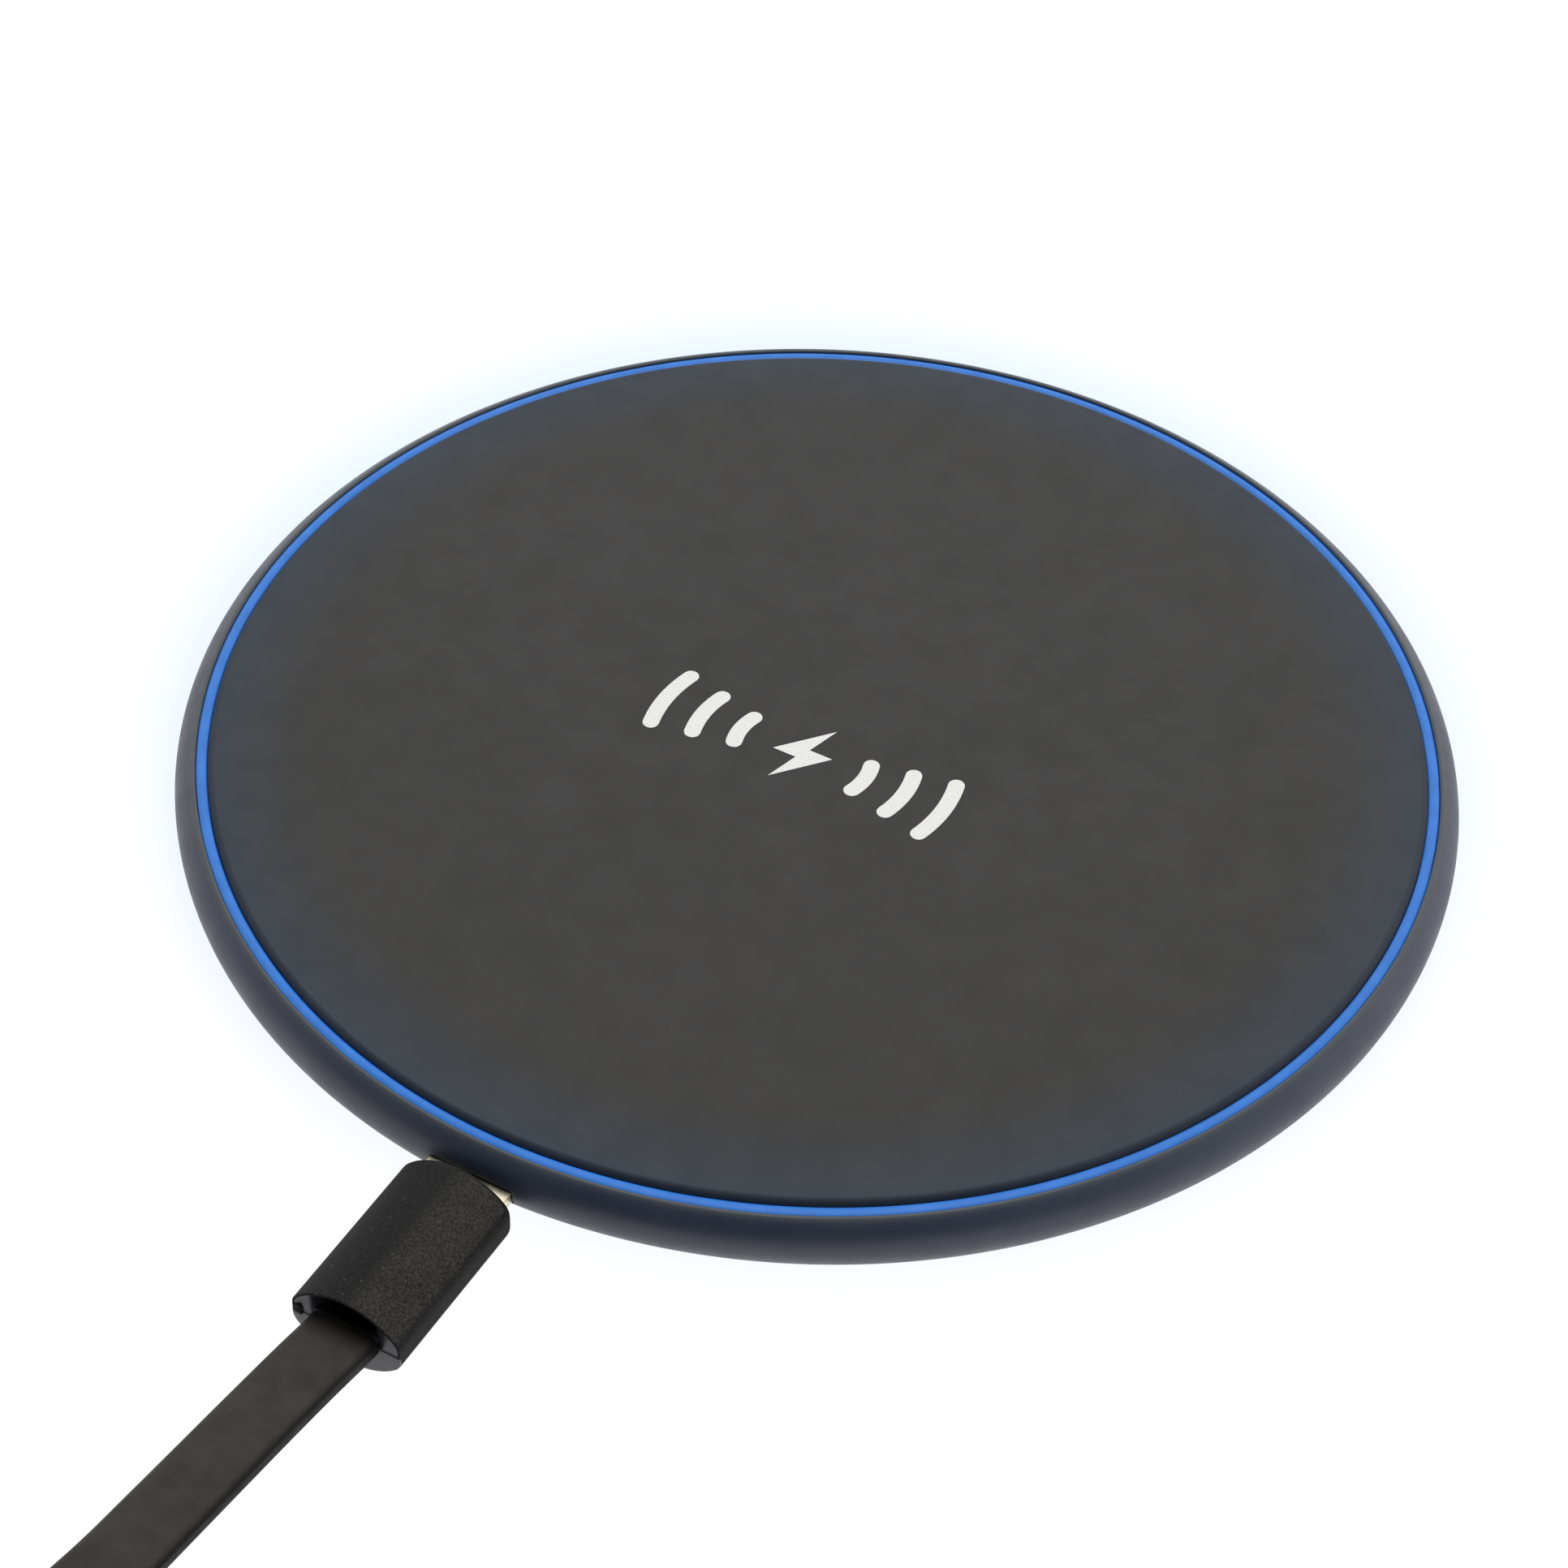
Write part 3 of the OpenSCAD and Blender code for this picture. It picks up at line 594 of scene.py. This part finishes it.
def board_finish():
    """Solder mask over copper tracks, with bare pads."""
    f = Finish("board_green")
    track = f.span(f.cells(2.6, "DISTANCE_TO_EDGE"), 0.1, 0.16)
    mask = f.mix(track, (0.012, 0.12, 0.055), (0.006, 0.065, 0.03))
    pad = f.span(f.cells(1.9), 0.16, 0.12)
    f.colour(f.mix(pad, mask, (0.55, 0.5, 0.36)))
    f.rough(f.span(f.noise(1.3, 3), 0.2, 0.8, 0.32, 0.46))
    f.bump(track, 0.03)
    return f.material


def copper_finish():
    """Enamelled stranded copper."""
    f = Finish("winding_copper", Metallic=1.0)
    strand = f.noise(0.12, 2, f.stretch(1, 1, 4))
    f.colour(f.mix(f.span(strand, 0.3, 0.7), (0.42, 0.15, 0.06), (0.75, 0.32, 0.15)))
    f.rough(f.span(strand, 0.3, 0.7, 0.42, 0.28))
    f.bump(strand, 0.03)
    return f.material


def foam_finish():
    """Open-cell foam."""
    f = Finish("foam")
    pore = f.span(f.cells(0.45), 0.15, 0.5)
    f.colour(f.mix(pore, (0.02, 0.02, 0.023), (0.055, 0.055, 0.06)))
    f.rough(f.span(f.noise(0.6, 2), 0.2, 0.8, 0.85, 0.98))
    f.bump(pore, 0.12)
    return f.material


def strap_finish():
    """Woven strap with a fuzzy face."""
    f = Finish("tie_strap", Sheen_Weight=0.25, Sheen_Roughness=0.5)
    weave = f.math("MULTIPLY", f.wave(0.32, "X"), f.wave(0.32, "Y"))
    fuzz = f.noise(0.2, 4)
    f.colour(f.mix(f.span(fuzz, 0.3, 0.7), (0.012, 0.012, 0.013), (0.035, 0.035, 0.037)))
    f.rough(f.span(fuzz, 0.3, 0.7, 0.8, 0.95))
    f.bump(weave, 0.05)
    f.bump(fuzz, 0.04)
    return f.material


def make_finishes():
    """Every material by its slot in the record."""
    return {
        "case": case_finish(),
        "cover": cover_finish(),
        "light_guide": ring_finish(),
        "foot_rubber": rubber_finish(),
        "label_film": label_finish(),
        "screw_steel": metal("screw_steel", (0.62, 0.61, 0.6), 0.3, (1, 1, 30)),
        "board_green": board_finish(),
        "socket_metal": metal("socket_metal", (0.72, 0.7, 0.66), 0.3, (1, 30, 1)),
        "insulator_black": moulded("insulator_black", (0.018, 0.018, 0.018), 0.45),
        "contact_gold": metal("contact_gold", (0.95, 0.7, 0.32), 0.22, (1, 30, 1)),
        "winding_copper": copper_finish(),
        "adhesive_film": moulded("adhesive_film", (0.62, 0.6, 0.5), 0.35, 0.6, 0.01, 0.08),
        "ferrite": moulded("ferrite", (0.03, 0.03, 0.034), 0.5, 0.12, 0.01, 0.25),
        "foam": foam_finish(),
        "sensor_body": moulded("sensor_body", (0.02, 0.025, 0.16), 0.35, 0.3, 0.01),
        "chip_package": moulded("chip_package", (0.014, 0.014, 0.015), 0.5, 0.1, 0.008),
        "ceramic": moulded("ceramic", (0.3, 0.19, 0.1), 0.42, 0.1, 0.006, 0.25),
        "diode_package": moulded("diode_package", (0.7, 0.75, 0.85), 0.3, 0.3, shift=0.08),
        "grip_plastic": grip_finish(),
        "grip_core_plastic": core_finish(),
        "plug_metal": metal("plug_metal", (0.89, 0.81, 0.61), 0.27, (1, 0.05, 1)),
        "cable_jacket": jacket_finish(),
        "tie_strap": strap_finish(),
        "insulator_white": moulded("insulator_white", (0.78, 0.77, 0.73), 0.4, 0.3, shift=0.05),
    }


# ---- Flat cable ----


def along_route(route):
    """Smooth curve through a route's points."""
    found = []
    for i in range(len(route) - 1):
        p0, p1 = Vector(route[max(i - 1, 0)]), Vector(route[i])
        p2, p3 = Vector(route[i + 1]), Vector(route[min(i + 2, len(route) - 1)])
        for k in range(ROUTE_STEPS):
            t = k / ROUTE_STEPS
            a = 2 * p1 + (p2 - p0) * t
            b = (2 * p0 - 5 * p1 + 4 * p2 - p3) * t**2
            c = (3 * p1 - p0 - 3 * p2 + p3) * t**3
            found.append((a + b + c) / 2)
    found.append(Vector(route[-1]))
    return found


def coil_points():
    """The coil's flat spiral, on edge, without its two end points."""
    count = round(COIL_TURNS * COIL_STEPS)
    found = []
    for i in range(1, count):
        turn = COIL_TURNS * i / count
        a = math.radians(COIL_START + 360 * turn)
        r = COIL_R - COIL_PITCH * turn
        x = COIL_CENTRE[0] + r * math.cos(a)
        y = COIL_CENTRE[1] + r * math.sin(a)
        found.append(Vector((x, y, COIL_Z, 90)))
    return found


def cable_section():
    """Outline of the flat cable: round corners and crowned faces."""
    corner, crown, tilt = 0.6, 0.12, 12
    half_w, half_t = CABLE_W / 2 - corner, CABLE_T / 2 - corner
    found = []
    for turn, (sx, sz) in enumerate(((1, 1), (-1, 1), (-1, -1), (1, -1))):
        start, end = (0, 90 - tilt) if turn % 2 == 0 else (tilt, 90)
        centre = (sx * half_w, sz * (half_t - crown))
        found += arc(centre, corner, 90 * turn + start, 90 * turn + end, 6)
        if turn % 2 == 0:
            edge = half_w + corner * math.sin(math.radians(tilt))
            level = half_t - crown + corner * math.cos(math.radians(tilt))
            rise = CABLE_T / 2 - level
            for share in (0.8, 0.55, 0.28, 0, -0.28, -0.55, -0.8):
                found.append((sx * edge * share, sz * (level + rise * (1 - abs(share) ** 2.5))))
    return found


def make_cable(finish):
    """One ribbon from the small plug, round the coil and up to the supply plug."""
    path = along_route(LEAD_ROUTE) + coil_points() + along_route(TAIL_ROUTE)
    section = cable_section()
    rings = []
    for i, point in enumerate(path):
        ahead = path[min(i + 1, len(path) - 1)].xyz - path[max(i - 1, 0)].xyz
        ahead.normalize()
        side = ahead.cross(Vector((0, 0, 1))).normalized()
        up = side.cross(ahead)
        twist = math.radians(point.w)
        u = side * math.cos(twist) + up * math.sin(twist)
        v = up * math.cos(twist) - side * math.sin(twist)
        rings.append([point.xyz + u * x + v * z for x, z in section])
    cable = loft("flat_cable", rings, finish, LEAD, 60)
    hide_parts("cable_lead", "cable_coil", "cable_tail")
    return cable, [tuple(p.xyz * MM) for p in path]


# ---- Pad ----


def case_outline():
    """Closed outline of the case's section, from the underside outwards."""
    centre = (PAD_R - EDGE_R, EDGE_CZ)
    start = (PAD_R - BEVEL_IN, BASE_Z)
    reach = math.dist(start, centre)
    rise = math.degrees(
        math.atan2(centre[1] - start[1], centre[0] - start[0]) - math.asin(EDGE_R / reach)
    )
    seat_r = RING_RO + FIT
    cavity_r = PAD_R - WALL_T
    lip = 0.22                       # rounding of the rim's inner edge
    lip_x = seat_r + lip - centre[0]
    lip_z = math.sqrt((EDGE_R - lip) ** 2 - lip_x**2)
    top_a = math.degrees(math.atan2(lip_z, lip_x))
    soft = 0.1                       # rounding of the groove's edges
    groove_in, groove_out = FOOT_RI - FIT, FOOT_RO + FIT
    outline = [(groove_out, FOOT_TOP), (groove_out, BASE_Z + soft), (groove_out + soft, BASE_Z)]
    outline += [start]
    outline += arc(centre, EDGE_R, rise - 90, top_a, 40)
    outline += arc((seat_r + lip, centre[1] + lip_z), lip, top_a, 180, 8)
    outline += [(seat_r, RING_LOW), (cavity_r, RING_LOW), (cavity_r, BASE_Z + FLOOR_T)]
    outline += [(0, BASE_Z + FLOOR_T), (0, LABEL_TOP), (LABEL_R + FIT, LABEL_TOP)]
    outline += [(LABEL_R + FIT, BASE_Z + 0.05), (LABEL_R + FIT + 0.05, BASE_Z)]
    outline += [(groove_in - soft, BASE_Z), (groove_in, BASE_Z + soft), (groove_in, FOOT_TOP)]
    return outline


def post_places():
    """Centres of the four screw posts."""
    r = (FOOT_RI + FOOT_RO) / 2
    angles = [math.radians(45 + 90 * i) for i in range(4)]
    return [(r * math.cos(a), r * math.sin(a)) for a in angles]


def rounded_rect(width, height, corner, steps=8):
    """A rounded rectangle of (x, z) round the origin."""
    found = []
    for turn, (sx, sz) in enumerate(((1, 1), (-1, 1), (-1, -1), (1, -1))):
        centre = (sx * (width / 2 - corner), sz * (height / 2 - corner))
        found += arc(centre, corner, 90 * turn, 90 * turn + 90, steps)
    return found


def cut_inlet(case):
    """Cuts the opening, its neck and the pocket, and rounds the opening's outer edge."""
    cuts = (
        (POCKET_W, INLET_H, 0.05, 1, NECK_END, POCKET_DEPTH),
        (NECK_W, NECK_H, NECK_CORNER, 8, -1, NECK_END + 0.02),
        (INLET_W, INLET_H, INLET_CORNER, 8, -1, INLET_LIP),
    )
    for width, height, corner, steps, start, end in cuts:
        outline = [(x, z + PORT_Z) for x, z in rounded_rect(width, height, corner, steps)]
        tool = loft("tool", prism(outline, start - PAD_R, end - PAD_R), None, None)
        boolean(case, tool, "DIFFERENCE")
    work = bmesh.new()
    work.from_mesh(case.data)
    bmesh.ops.remove_doubles(work, verts=work.verts, dist=2e-6)
    chosen = []
    reach_x, reach_z = INLET_W / 2 + 0.4, INLET_H / 2 + 0.075
    for edge in work.edges:
        middle = (edge.verts[0].co + edge.verts[1].co) / 2 / MM
        outside = middle.y < INLET_LIP - 0.01 - PAD_R
        near = abs(middle.x) < reach_x and abs(middle.z - PORT_Z) < reach_z
        if outside and near and len(edge.link_faces) == 2:
            if edge.calc_face_angle() > math.radians(40):
                chosen.append(edge)
    bmesh.ops.bevel(
        work, geom=chosen, offset=INLET_SOFT * MM, segments=3, profile=0.5, affect="EDGES",
        clamp_overlap=True,
    )
    work.to_mesh(case.data)
    work.free()


def make_case(finish):
    """Lower case with its screw posts, their bores and the inlet."""
    case = turned("case_shell", case_outline(), finish, None)
    inside = BASE_Z + FLOOR_T - 0.3
    below = BASE_Z - 1
    boolean(case, post_tool(POST_FOOT_R, inside, POST_FOOT_TOP), "UNION")
    boolean(case, post_tool(POST_R, inside, POST_TOP), "UNION")
    boolean(case, post_tool(HEAD_BORE_R, below, SCREW_Z + 1), "DIFFERENCE")
    boolean(case, post_tool(SHANK_BORE_R, below, POST_TOP + 0.2), "DIFFERENCE")
    cut_inlet(case)
    tidy_mesh(case)
    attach(case, PAD)
    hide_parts("base_shell")


def make_cover(finish):
    """Disc with a rounded edge and a boss over each screw post."""
    low = RING_LOW + FLANGE_T
    outline = [(0, low), (COVER_R, low)]
    outline += arc((COVER_R - COVER_EDGE_R, COVER_TOP - COVER_EDGE_R), COVER_EDGE_R, 0, 90, 12)
    outline += [(0, COVER_TOP)]
    cover = turned("cover_disc", outline, finish, None)
    boolean(cover, post_tool(BOSS_R, POST_TOP, low + 0.2), "UNION")
    tidy_mesh(cover)
    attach(cover, PAD)
    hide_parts("top_cover")


def make_ring(finish):
    """Light guide with a crowned top and its clamped flange."""
    crown = 0.11
    steps = 12
    flange_z = RING_LOW + FLANGE_T
    outline = [(FLANGE_R, RING_LOW), (RING_RO, RING_LOW)]
    for i in range(steps + 1):
        across = 2 * i / steps - 1
        outline.append((RING_RO - RING_W * i / steps, RING_HIGH - crown * across**2))
    outline += [(RING_RO - RING_W, flange_z), (FLANGE_R, flange_z)]
    ring = turned("glow_ring", outline, finish, PAD)
    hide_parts("light_ring")


def make_foot(finish):
    """Anti-slip ring with rounded edges, flat where it rests."""
    soft = 0.2
    outline = arc((FOOT_RI + soft, soft), soft, 270, 180, 5)
    outline += [(FOOT_RI, FOOT_TOP), (FOOT_RO, FOOT_TOP)]
    outline += arc((FOOT_RO - soft, soft), soft, 0, -90, 5)
    foot = turned("foot_ring", outline, finish, PAD)
    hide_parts("rubber_foot")


# ---- Printed mark: a bolt between three pairs of waves ----


def slab(name, outline, z0, z1, finish):
    """A flat shape of (x, y) from z0 to z1."""
    rings = [[(x, y, z) for x, y in outline] for z in (z0, z1)]
    return loft(name, rings, finish, PAD)


def wave_outline(centre, radius, half, width):
    """A bent bar with round ends, opening towards the centre."""
    reach = math.degrees(half / radius)
    outer = arc(centre, radius + width / 2, -reach, reach, 20)
    inner = arc(centre, radius - width / 2, reach, -reach, 20)
    turn = math.radians(reach)
    ends = []
    for sign in (1, -1):
        tip = (centre[0] + radius * math.cos(turn), centre[1] + sign * radius * math.sin(turn))
        first = reach if sign > 0 else 180 - reach
        ends.append(arc(tip, width / 2, first, first + 180, 8)[1:-1])
    return outer + ends[0] + inner + ends[1]


def make_mark(finish):
    """Thin slabs of ink on the disc, printed a little in front of its middle."""
    centre_y = -2.6
    low, high = COVER_TOP - 0.005, COVER_TOP + 0.02
    bolt = [(1.1, 3.5), (-2.3, -0.6), (-0.3, -0.6), (-1.1, -3.5), (2.3, 0.6), (0.3, 0.6)]
    slab("mark_bolt", [(x, y + centre_y) for x, y in bolt], low, high, finish)
    for i, radius in enumerate((4.9, 8.3, 11.7)):
        half = 1.6 + 0.75 * i
        right = wave_outline((0.6, centre_y), radius, half, 1.3)
        slab(f"mark_wave_right_{i + 1}", right, low, high, finish)
        slab(f"mark_wave_left_{i + 1}", [(-x, y) for x, y in right], low, high, finish)


# ---- Plugs ----


def lens_centres(w, h, arc_r, corner):
    """Depth of the top arc's centre below the axis, and the centre (x, z) of a side's rounding."""
    drop = arc_r - h / 2
    side_x = w / 2 - corner
    return drop, side_x, math.sqrt((arc_r - corner) ** 2 - side_x**2) - drop


def lens_outline(w, h, arc_r, corner):
    """Lens section with blunt, rounded sides, as (x, z)."""
    drop, side_x, side_z = lens_centres(w, h, arc_r, corner)
    turn = math.degrees(math.atan2(side_z + drop, side_x))
    right_up = arc((side_x, side_z), corner, 0, turn, 5)
    top = arc((0, -drop), arc_r, turn, 180 - turn, 24)[1:-1]
    left_up = arc((-side_x, side_z), corner, 180 - turn, 180, 5)
    upper = right_up + top + left_up
    return upper + [(-x, -z) for x, z in upper]


class Grip:
    """Sizes of one plug's grip; its front face is at y = 0 and its axis at z = 0."""

    def __init__(self, name, node, place, size, corner, length):
        self.name = name
        self.node = node
        self.place = place
        self.size = size             # width, height and radius of the two arcs
        self.corner = corner
        self.length = length

    def ring(self, y, inset):
        w, h, arc_r = self.size
        outline = lens_outline(w - 2 * inset, h - 2 * inset, arc_r - inset, self.corner - inset)
        return [(x, y, z) for x, z in outline]

    def height(self, x, inset):
        """Half the height of the lens at x, shrunk by the inset."""
        arc_r = self.size[2]
        drop, side_x, side_z = lens_centres(*self.size, self.corner)
        if abs(x) * (arc_r - self.corner) < side_x * (arc_r - inset):
            return math.sqrt((arc_r - inset) ** 2 - x**2) - drop
        return side_z + math.sqrt(max(0, (self.corner - inset) ** 2 - (abs(x) - side_x) ** 2))

    def dish(self, x):
        """Depth of the dish in the core, over a shelf that covers the cable."""
        shelf, rim, deepest = CABLE_W / 2 - 1.9, CABLE_W / 2 + 0.4, 1.6
        t = min(max((abs(x) - shelf) / (rim - shelf), 0), 1)
        return deepest * (1 - t * t * (3 - 2 * t))


def make_skin(grip, finishes):
    """Textured cup round the core, with a rounded front; its thin rear edge covers the top half."""
    rear, front = -grip.length, 0.9
    rings = [grip.ring(rear + SKIN_HOLLOW, SKIN), grip.ring(rear + 0.03, SKIN)]
    rings += [grip.ring(rear, 0.14), grip.ring(rear + 0.01, 0.07), grip.ring(rear + 0.07, 0)]
    rings += [grip.ring(rear + 0.28, 0)]
    for i in range(9):
        a = math.radians(11.25 * i)
        rings.append(grip.ring(-front + front * math.sin(a), front * (1 - math.cos(a))))
    skin = loft(grip.name + "_skin", rings, finishes["grip_plastic"], None, 40)
    w, h = grip.size[:2]
    below = [(-w, -h), (w, -h), (w, -0.02), (-w, -0.02)]
    boolean(skin, loft("tool", prism(below, rear - 1, rear + 0.25), None, None), "DIFFERENCE")
    return skin


def swept(stations, section):
    """Points and faces of a closed solid through the sections (y, z) at each x."""
    rings = [[(x, y, z) for y, z in section(x)] for x in stations]
    size = len(rings[0])
    faces = grid_faces(len(rings), size, False)
    faces += [tuple(range(size)), tuple(range(size * (len(rings) - 1), size * len(rings)))]
    return [p for ring in rings for p in ring], faces


def make_core(grip, finishes):
    """Inner moulding in two halves: the top one is dished, the lower one comes out as a lip."""
    rear = -grip.length
    inner, outer, soft = SKIN - 0.02, 0.02, 0.06
    front = rear + SKIN_HOLLOW + 0.2

    def stations(inset):
        reach = grip.size[0] / 2 - inset
        return [reach * math.sin(math.radians(a)) for a in range(-90, 91, 3)]

    def upper(x):
        z, y = grip.height(x, inner), rear + 0.02
        over_cable = abs(x) < CABLE_W / 2 - 0.1
        shelf = CABLE_T / 2 + 0.06 if over_cable else 0.15
        dish = y + 0.02 + grip.dish(x)
        edge = [(dish, z), (dish, shelf), (y + 0.03, shelf), (y, shelf - 0.03)]
        return [(front, 0), (front, z), *edge, (y, soft), (y + soft, 0)]

    def lower(x):
        z = -grip.height(x, inner)
        return [(front, 0), (rear + 0.2, 0), (rear + 0.2, z), (front, z)]

    def lip(x):
        z = -grip.height(x, outer)
        edge = [(rear + 0.03, z + soft), (rear + soft, z + 0.01), (rear + 0.24, z)]
        return [(rear + 0.24, -0.01), (rear + soft, -0.01), (rear, -soft), (rear, z + 0.2), *edge]

    points, faces = [], []
    for inset, section in ((inner, upper), (inner, lower), (outer + 0.02, lip)):
        more, sides = swept(stations(inset), section)
        faces += [tuple(len(points) + k for k in face) for face in sides]
        points += more
    return make_piece(grip.name + "_core", points, faces, finishes["grip_core_plastic"], None, 40)


def place_piece(piece, grip, node):
    """Moves a piece to its plug, hangs it on the lead and hides the CAD node that it replaces."""
    piece.data.transform(grip.place)
    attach(piece, LEAD)
    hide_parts(node)


def small_section():
    """Section of the small shell's seat, with its two lower corners cut off."""
    x, z = SHELL_W / 2 + SHELL_FIT, SHELL_H / 2 + SHELL_FIT
    cut_x, cut_z = SHELL_FLAT_X + 0.42 * SHELL_FIT, SHELL_CUT_Z - 0.4 * SHELL_FIT
    return [(-x, z), (x, z), (x, cut_z), (cut_x, -z), (-cut_x, -z), (-x, cut_z)]


def supply_section():
    """Section of the supply shell's seat, a rounded rectangle."""
    w, h = SUPPLY_SHELL_W + 2 * SHELL_FIT, SUPPLY_SHELL_H + 2 * SHELL_FIT
    return rounded_rect(w, h, 0.5 + SHELL_FIT, 5)


def make_grip(grip, section, finishes):
    """Skin and core of a grip, with a seat in its front for the metal shell."""
    skin = make_skin(grip, finishes)
    boolean(skin, loft("tool", prism(section, -SHELL_SEAT, 0.5), None, None), "DIFFERENCE")
    tidy_mesh(skin, 40)
    place_piece(skin, grip, grip.node + "overmould")
    core = make_core(grip, finishes)
    place_piece(core, grip, grip.node + "core")
    return [skin, core]


def make_gate_scar(grip, finish):
    """Torn end of the moulding gate, at the left of a grip's rear."""
    rings, sides = 10, 18
    half_x, half_y, half_z = 0.4, 0.2, 0.55
    centre = Vector((0.55 - grip.size[0] / 2, -grip.length, 0.2))
    found = []
    for i in range(rings + 1):
        a = math.pi * (0.5 + i) / (rings + 1)
        ring = []
        for k in range(sides):
            b = math.tau * k / sides
            torn = 1 + 0.14 * math.sin(7 * i + 5.3 * k) + 0.1 * math.sin(3.1 * i * k)
            out = Vector((half_x * math.sin(a) * math.cos(b), half_y * math.cos(a), 0))
            out.z = half_z * math.sin(a) * math.sin(b)
            ring.append(centre + out * torn)
        found.append(ring)
    scar = loft(grip.name + "_gate_scar", found, finish, None, 60)
    scar.data.transform(grip.place)
    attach(scar, LEAD)


def make_plugs(finishes):
    """Both grips; the supply grip's pieces are handed back, since they go with the cable."""
    small_place = Matrix.Translation(Vector((0, PLUG_FACE_Y, PORT_Z)) * MM)
    size = (PLUG_W, PLUG_H, PLUG_ARC_R)
    small = Grip("small_grip", "plug_", small_place, size, PLUG_CORNER, PLUG_LEN)
    reach = SUPPLY_LEN - CORE_RECESS
    end = Vector(TAIL_ROUTE[-1][:3])
    along = Vector((math.cos(SUPPLY_HEADING), math.sin(SUPPLY_HEADING), 0))
    turn = Matrix.Rotation(SUPPLY_HEADING - math.pi / 2, 4, "Z")
    supply_place = Matrix.Translation((end + along * reach) * MM) @ turn
    size = (SUPPLY_W, SUPPLY_H, SUPPLY_ARC_R)
    supply = Grip("supply_grip", "supply_plug_", supply_place, size, SUPPLY_CORNER, SUPPLY_LEN)
    make_grip(small, small_section(), finishes)
    make_gate_scar(small, finishes["grip_plastic"])
    return make_grip(supply, supply_section(), finishes)


# ---- CAD nodes that stay ----


def carry_over(finishes):
    """Gives each CAD node that still shows its procedural material and soft edges."""
    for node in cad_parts.values():
        if node.hide_render:
            continue
        slots = node.data.materials
        for i, old in enumerate(slots):
            slots[i] = finishes[old.name]
        weld = node.modifiers.new("weld", "WELD")
        weld.merge_threshold = 0.002 * MM
        bevel = node.modifiers.new("soft_edges", "BEVEL")
        bevel.width = 0.05 * MM
        bevel.segments = 2
        bevel.limit_method = "ANGLE"
        bevel.angle_limit = math.radians(40)
        bevel.harden_normals = True


# ---- Stage and light ----


def make_floor():
    """Plain pale floor with the ring's faint blue glow on it."""
    half = 3000
    halo_centre = (-4.5, 7.8, 0)
    halo_far, halo_near = 60, 46
    corners = [(-half, -half, 0), (half, -half, 0), (half, half, 0), (-half, half, 0)]
    f = Finish("pale_floor", Emission_Strength=0.99, Specular_IOR_Level=0.1)
    away = f.stretch(1 / MM, 1 / MM, 0)
    node = f.nodes.new("ShaderNodeVectorMath")
    node.operation = "DISTANCE"
    f.links.new(away, node.inputs[0])
    node.inputs[1].default_value = halo_centre
    glow = f.span(node.outputs["Value"], halo_far, halo_near)
    f.colour(f.mix(glow, (0.1, 0.1, 0.1), (0.09, 0.095, 0.1)))
    tint = f.mix(glow, (1, 1, 1), (0.76, 0.85, 1))
    f.put(tint, f.shader.inputs["Emission Color"])
    f.rough(0.9)
    floor = make_piece("floor", corners, [(0, 1, 2, 3)], f.material, None)


def make_world():
    """Soft white surroundings, darker on the camera's side so that edges read."""
    world = bpy.data.worlds.new("studio")
    bpy.context.scene.world = world
    world.use_nodes = True
    nodes, links = world.node_tree.nodes, world.node_tree.links
    back = nodes["Background"]
    place = nodes.new("ShaderNodeTexCoord").outputs["Generated"]
    facing = nodes.new("ShaderNodeVectorMath")
    facing.operation = "DOT_PRODUCT"
    facing.inputs[1].default_value = (0.16, -0.855, 0.5)
    links.new(place, facing.inputs[0])
    shade = nodes.new("ShaderNodeMapRange")
    shade.interpolation_type = "SMOOTHSTEP"
    links.new(facing.outputs["Value"], shade.inputs["Value"])
    for key, value in (("From Min", -0.4), ("From Max", 0.92), ("To Min", 1.45), ("To Max", 0.1)):
        shade.inputs[key].default_value = value
    seen = nodes.new("ShaderNodeLightPath").outputs["Is Camera Ray"]
    pick = nodes.new("ShaderNodeMix")
    pick.inputs["B"].default_value = 0.92
    links.new(seen, pick.inputs["Factor"])
    links.new(shade.outputs["Result"], pick.inputs["A"])
    links.new(pick.outputs["Result"], back.inputs["Strength"])
    back.inputs["Color"].default_value = (1, 1, 1, 1)


def make_light(name, place, aim, size, power):
    data = bpy.data.lights.new(name, "AREA")
    data.shape = "DISK"
    data.size = size
    data.energy = power
    light = bpy.data.objects.new(name, data)
    light.location = place
    light.rotation_euler = (Vector(aim) - Vector(place)).to_track_quat("-Z", "Y").to_euler()
    bpy.context.scene.collection.objects.link(light)


def make_studio():
    """Floor, surroundings and one large soft light overhead."""
    bpy.context.scene.view_settings.view_transform = "Standard"
    make_floor()
    make_world()
    make_light("overhead", (0.0, 0.1, 0.9), (0, 0, 0), 0.5, 2.0)


make_camera()
finishes = make_finishes()
cable, cable_path = make_cable(finishes["cable_jacket"])
make_case(finishes["case"])
make_cover(finishes["cover"])
make_ring(finishes["light_guide"])
make_foot(finishes["foot_rubber"])
make_mark(ink_finish())
supply_pieces = make_plugs(finishes)
carry_over(finishes)
make_studio()
